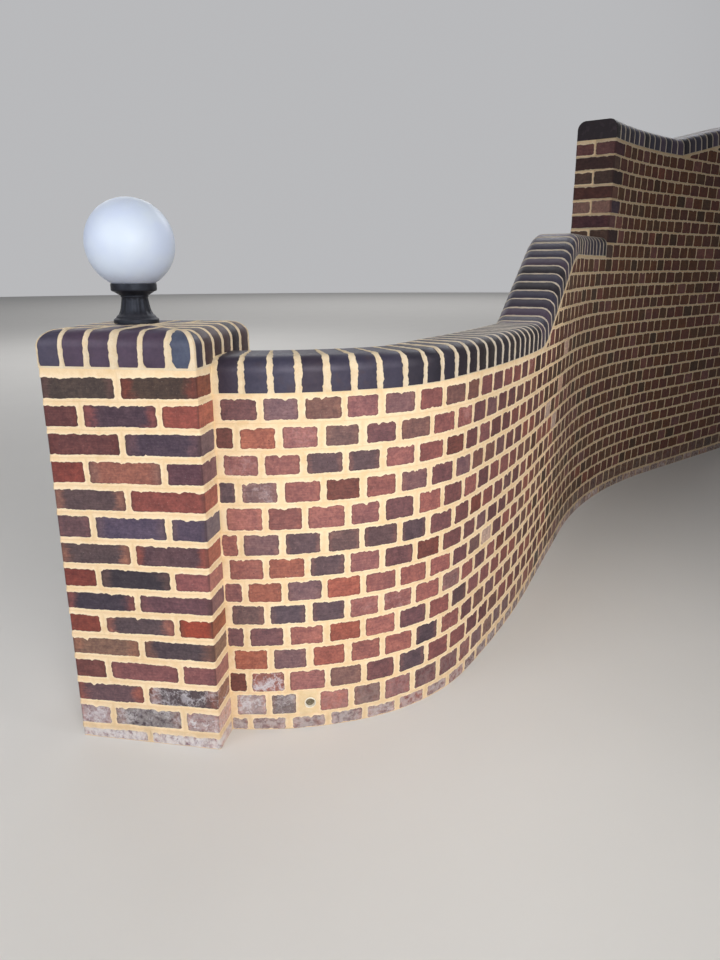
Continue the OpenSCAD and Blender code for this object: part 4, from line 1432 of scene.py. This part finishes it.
def lamp_opal_material():
    m = Mat("lamp_opal")
    pos = m.node("ShaderNodeTexCoord").outputs["Object"]
    n = m.noise(pos, 11, 2, .5)
    col = m.mix(m.ramp(n, .3, .7), (0.68, 0.77, 1.0), (0.73, 0.82, 1.0))
    z = m.xyz(pos)[2]
    # a little grime towards the neck and fine dust on the crown
    low = m.math("MULTIPLY", m.ramp(z, 1.335, 1.37, 1, 0), m.ramp(m.noise(pos, 60, 4, .6), .3, .7, .25, .8))
    col = m.mix(m.math("MULTIPLY", low, .35), col, (0.45, 0.45, 0.50))
    crown = m.math("MULTIPLY", m.ramp(z, 1.50, 1.575), m.ramp(m.noise(pos, 130, 4, .7), .5, .75))
    col = m.mix(m.math("MULTIPLY", crown, .22), col, (0.55, 0.55, 0.56))
    m.link(col, m.b.inputs["Base Color"])
    m.link(m.ramp(m.noise(pos, 40, 2, .5), .3, .7, .36, .46), m.b.inputs["Roughness"])
    m.b.inputs["Specular IOR Level"].default_value = 0.3
    m.b.inputs["Subsurface Weight"].default_value = 0.35
    m.b.inputs["Subsurface Radius"].default_value = (0.02, 0.02, 0.02)
    m.b.inputs["Subsurface Scale"].default_value = 1.0
    m.b.inputs["Coat Weight"].default_value = 0.08
    m.b.inputs["Coat Roughness"].default_value = 0.15
    m.link(m.bump(m.noise(pos, 8, 1, .5), .08, .002), m.b.inputs["Normal"])
    return m.m


def pipe_material():
    m = Mat("weathered_pipe")
    pos = m.node("ShaderNodeTexCoord").outputs["Object"]
    n = m.noise(pos, 160, 4, .65)
    col = m.mix(m.ramp(n, .35, .7), (0.93, 0.90, 0.82), (0.74, 0.67, 0.54))
    m.link(col, m.b.inputs["Base Color"])
    m.b.inputs["Roughness"].default_value = 0.5
    m.link(m.bump(n, .2, .0006), m.b.inputs["Normal"])
    return m.m


def silt_material():
    m = Mat("pipe_silt")
    pos = m.node("ShaderNodeTexCoord").outputs["Object"]
    n = m.noise(pos, 220, 4, .65)
    m.link(m.mix(m.ramp(n, .35, .7), (0.13, 0.11, 0.07), (0.30, 0.25, 0.17)), m.b.inputs["Base Color"])
    m.b.inputs["Roughness"].default_value = 0.85
    m.link(m.bump(n, .3, .0006), m.b.inputs["Normal"])
    return m.m


MATS = {BRICK: brick_material(), MORTAR: mortar_material(), COPING: coping_material()}


def put(obj, nodes):
    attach(obj, "root")
    if nodes:
        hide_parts(*nodes)
    return obj


NAMES = {1: "low_wall_near", 2: "low_wall_far", 3: "first_ramp", 4: "mid_wall", 5: "tall_wall", 6: "second_ramp", 7: "end_wall"}
for (k, level), B in sorted(walls.items()):
    tag = "" if k < 5 else ("_lower" if level == 0 else "_upper")
    put(B.finish(f"{NAMES[k]}_brickwork{tag}", MATS), WALL_NODES[k])
put(pier.finish("pier_brickwork", MATS), ["pier_shaft"])
for k, B in sorted(copings.items()):
    put(B.finish(f"{NAMES[k]}_coping_bricks", MATS), COPING_NODES[k])
put(cap.finish("pier_cap_bricks", MATS), CAP_NODES)


# ---- lamp and pipe -------------------------------------------------------------------------
LAMP_X, LAMP_Y, LAMP_Z = -66.0, 56.0, PIER_Z + EDGE_H
GLOBE_R = 125.0
GLOBE_C = LAMP_Z + 79 + 34 + math.sqrt(GLOBE_R ** 2 - (129 / 2 - 3) ** 2)


def fine_profile(points, radius=1.2, step=2):
    """Rounds the corners of an (r, z) profile."""
    out = [np.array(points[0], float)]
    for p, q, r in zip(points[:-2], points[1:-1], points[2:]):
        p, q, r = (np.array(a, float) for a in (p, q, r))
        d0, d1 = np.linalg.norm(p - q), np.linalg.norm(r - q)
        k = min(radius, d0 * .4, d1 * .4)
        a, b = q + (p - q) / d0 * k, q + (r - q) / d1 * k
        for t in np.linspace(0, 1, step + 2):
            out.append((1 - t) ** 2 * a + 2 * t * (1 - t) * q + t * t * b)
    out.append(np.array(points[-1], float))
    return np.array(out)


def lathe(name, prof, n, mat, shape=None, close=True):
    """Turns an (r, z) profile, listed from the bottom up on the outside. shape(r, z, angle) may change r."""
    a = np.linspace(0, 2 * math.pi, n, endpoint=False)
    r = np.repeat(prof[:, 0][:, None], n, 1)
    z = np.repeat(prof[:, 1][:, None], n, 1)
    if shape is not None:
        r = shape(r, z, np.broadcast_to(a, r.shape))
    v = np.stack([LAMP_X + r * np.cos(a), LAMP_Y + r * np.sin(a), z], 2).reshape(-1, 3) / 1000
    faces = []
    m = len(prof)
    for k in range(m - 1):
        for i in range(n):
            j = (i + 1) % n
            faces.append((k * n + i, k * n + j, (k + 1) * n + j, (k + 1) * n + i))
    if close:
        faces.append(tuple(range(n - 1, -1, -1)))
        faces.append(tuple((m - 1) * n + i for i in range(n)))
    me = bpy.data.meshes.new(name)
    me.from_pydata(v.tolist(), [], faces)
    me.materials.append(mat)
    me.polygons.foreach_set("use_smooth", [len(f) == 4 for f in faces])
    me.set_sharp_from_angle(angle=RAD(50))
    ob = bpy.data.objects.new(name, me)
    bpy.context.scene.collection.objects.link(ob)
    return ob


black, opal = lamp_black_material(), lamp_opal_material()
foot = fine_profile([(62.5, 0), (64, 1.5), (64, 11), (61, 13.5), (57, 16), (55, 20), (48.5, 26), (44.5, 34), (42, 42), (40, 52), (38, 64),
                     (37, 73), (39, 75), (39, 79)], 1.0)
prof = []
for p, q in zip(foot[:-1], foot[1:]):
    m = max(1, int(np.linalg.norm(q - p) / 3))
    prof += [p + (q - p) * t / m for t in range(m)]
prof.append(foot[-1])
prof = np.array(prof) + [0, LAMP_Z]


def flutes(r, z, a):
    k = smooth(LAMP_Z + 21, LAMP_Z + 30, z) * (1 - smooth(LAMP_Z + 68, LAMP_Z + 73, z))
    return r - k * 2.4 * np.abs(np.sin(a * 7)) ** 1.6


put(lathe("lamp_stem_fluted", prof, 168, black, flutes), ["lamp_stem"])
seat = GLOBE_C - math.sqrt(GLOBE_R ** 2 - 58.0 ** 2)
ring = fine_profile([(38, 0), (42, 1), (57, 10.5), (62, 12), (64, 14), (64.5, 17), (64.5, 31), (63.6, 33.4), (61.4, 34.0), (60.2, 32.5), (59.0, 28.0), (56.0, 26.0)], 0.8)
put(lathe("lamp_collar_ring", ring + [0, LAMP_Z + 79], 128, black), ["lamp_collar"])
t = np.linspace(math.asin(58.5 / GLOBE_R), math.pi - 0.012, 90)
gp = np.stack([GLOBE_R * np.sin(t), GLOBE_C - GLOBE_R * np.cos(t)], 1)
gp = np.concatenate([[[57.0, gp[0][1] - 8]], [[58.0, gp[0][1] - 3]], gp])


def moulded(r, z, a):
    # the globe's faint mould seam and a hand's worth of unevenness
    seam = np.exp(-((z - GLOBE_C) / 1.0) ** 2) * 0.12
    return r + seam + 0.15 * np.sin(2 * a + 0.6) * np.sin((z - GLOBE_C) / 60)


put(lathe("lamp_globe_opal", gp, 160, opal, moulded), ["lamp_globe"])


def weep_pipe():
    n = 40
    x, y, h, _, _ = plan.at(PIPE_S)
    axis = np.array([math.sin(h[0]), -math.cos(h[0]), 0.0])
    side = np.array([math.cos(h[0]), math.sin(h[0]), 0.0])
    c = np.array([x[0], y[0], 86.0])
    a = np.linspace(0, 2 * math.pi, n, endpoint=False)
    # a sawn pipe's end isn't quite square
    prof = [(17.4, -26.0), (17.5, -4.0), (17.5, 2.4), (17.1, 3.0), (15.6, 3.0), (15.0, 2.4), (15.0, -5.0), (14.9, -26.0), (0.4, -27.0)]
    v = []
    for r, d in prof:
        skew = 0.5 * np.sin(a * 2 + .7) + 0.25 * np.sin(a * 5) if d > 2 else 0 * a
        if d < -20 and r < 15:
            # silt lies in the pipe, higher at the bottom
            skew = (9.0 - 9.0 * np.sin(a)) * (r / 15) + 6.0 * (1 - r / 15)
        v.append(c + np.outer(np.cos(a) * r, side) + np.outer(np.sin(a) * r, [0, 0, 1]) + np.outer(d + skew, axis))
    faces = []
    for k in range(len(prof) - 1):
        for i in range(n):
            j = (i + 1) % n
            faces.append((k * n + i, (k + 1) * n + i, (k + 1) * n + j, k * n + j))
    me = bpy.data.meshes.new("weep_pipe_end")
    me.from_pydata((np.concatenate(v) / 1000).tolist(), [], faces)
    me.materials.append(pipe_material())
    me.materials.append(silt_material())
    me.polygons.foreach_set("material_index", [1 if i >= 7 * n else 0 for i in range(len(faces))])
    me.polygons.foreach_set("use_smooth", [True] * len(faces))
    me.set_sharp_from_angle(angle=RAD(40))
    ob = bpy.data.objects.new("weep_pipe_end", me)
    bpy.context.scene.collection.objects.link(ob)
    return ob


put(weep_pipe(), ["weep_pipe"])


# ---- floor, light and camera ---------------------------------------------------------------
def stage_floor():
    me = bpy.data.meshes.new("floor")
    n, r = 96, 42.0
    rim = [(r * math.cos(2 * math.pi * i / n), r * math.sin(2 * math.pi * i / n), -0.0005) for i in range(n)]
    me.from_pydata(rim, [], [tuple(range(n))])
    ob = bpy.data.objects.new("floor", me)
    bpy.context.scene.collection.objects.link(ob)
    m = Mat("pale_floor")
    pos = m.node("ShaderNodeTexCoord").outputs["Object"]
    col = m.mix(m.noise(pos, 1.3, 3, .6), (0.74, 0.73, 0.71), (0.78, 0.77, 0.75))
    m.link(col, m.b.inputs["Base Color"])
    m.b.inputs["Roughness"].default_value = 0.9
    me.materials.append(m.m)


stage_floor()


def area(name, at, to, size, power, color, spread=180.0):
    li = bpy.data.lights.new(name, "AREA")
    li.shape, li.size, li.size_y = "RECTANGLE", size[0], size[1]
    li.energy, li.color = power, color
    li.spread = RAD(spread)
    ob = bpy.data.objects.new(name, li)
    bpy.context.scene.collection.objects.link(ob)
    d = np.array(to, float) - np.array(at, float)
    ob.location = at
    from mathutils import Vector
    ob.rotation_euler = Vector(d).to_track_quat("-Z", "Y").to_euler()
    return ob


area("key", (2.2, -3.4, 2.3), (0.55, 0.1, 0.5), (2.0, 1.6), 25.5, (1.0, 0.98, 0.94), 75.0)
area("side", (3.6, -0.6, 2.2), (1.12, 1.1, 0.8), (1.4, 1.2), 4.4, (1.0, 0.98, 0.94), 66.0)
area("edge", (2.5, -0.55, 1.15), (0.22, -0.16, 0.66), (0.4, 1.6), 0.9, (1.0, 0.98, 0.95), 60.0)
area("fill", (-1.8, -2.6, 2.2), (0.1, 0.1, 0.6), (2.2, 1.8), 42, (0.97, 0.975, 1.0))
area("rear", (2.4, 6.4, 5.0), (1.0, 1.6, 1.1), (3.4, 2.6), 90, (0.95, 0.97, 1.0))

area("wash", (-4.5, 9.5, 6.0), (-4.0, 9.0, 0.0), (8.0, 6.0), 240, (1.0, 0.99, 0.98))
area("far_wash", (-2.0, 26.0, 18.0), (-2.0, 26.5, 0.0), (24.0, 20.0), 750, (1.0, 0.99, 0.98), 100.0)

world = bpy.data.worlds.new("studio")
bpy.context.scene.world = world
world.use_nodes = True
# the studio's paler wall stands behind the object, towards +Y
_wt = world.node_tree
_dir = _wt.nodes.new("ShaderNodeTexCoord").outputs["Generated"]
_dot = _wt.nodes.new("ShaderNodeVectorMath")
_dot.operation = "DOT_PRODUCT"
_dot.inputs[1].default_value = (-0.39, 0.921, 0.0)
_wt.links.new(_dir, _dot.inputs[0])
_ramp = _wt.nodes.new("ShaderNodeMapRange")
_ramp.interpolation_type = "SMOOTHSTEP"
for key, val in (("From Min", 0.4), ("From Max", 0.86), ("To Min", 0.18), ("To Max", 0.50)):
    _ramp.inputs[key].default_value = val
_wt.links.new(_dot.outputs["Value"], _ramp.inputs["Value"])
_wt.nodes["Background"].inputs["Color"].default_value = (0.97, 0.975, 1.0, 1)
_wt.links.new(_ramp.outputs["Result"], _wt.nodes["Background"].inputs["Strength"])

bpy.context.scene.view_settings.view_transform = "Standard"
bpy.context.scene.view_settings.look = "None"

cam = bpy.data.cameras.new("camera")
cam_ob = bpy.data.objects.new("camera", cam)
bpy.context.scene.collection.objects.link(cam_ob)
bpy.context.scene.camera = cam_ob
yaw, pitch, roll, focal = -0.174338, -0.280498, -0.004819, 735.57
w = np.array([math.sin(yaw) * math.cos(pitch), math.cos(yaw) * math.cos(pitch), math.sin(pitch)])
r0 = np.array([math.cos(yaw), -math.sin(yaw), 0.0])
u0 = np.cross(r0, w)
right = math.cos(roll) * r0 + math.sin(roll) * u0
upv = -math.sin(roll) * r0 + math.cos(roll) * u0
mat = np.eye(4)
mat[:3, 0], mat[:3, 1], mat[:3, 2], mat[:3, 3] = right, upv, -w, (0.9569, -1.9970, 1.3720)
cam_ob.matrix_world = Matrix(mat.tolist())
cam.sensor_fit = "VERTICAL"
cam.sensor_height = 36.0
cam.lens = focal / 960.0 * 36.0
cam.clip_start, cam.clip_end = 0.05, 200.0
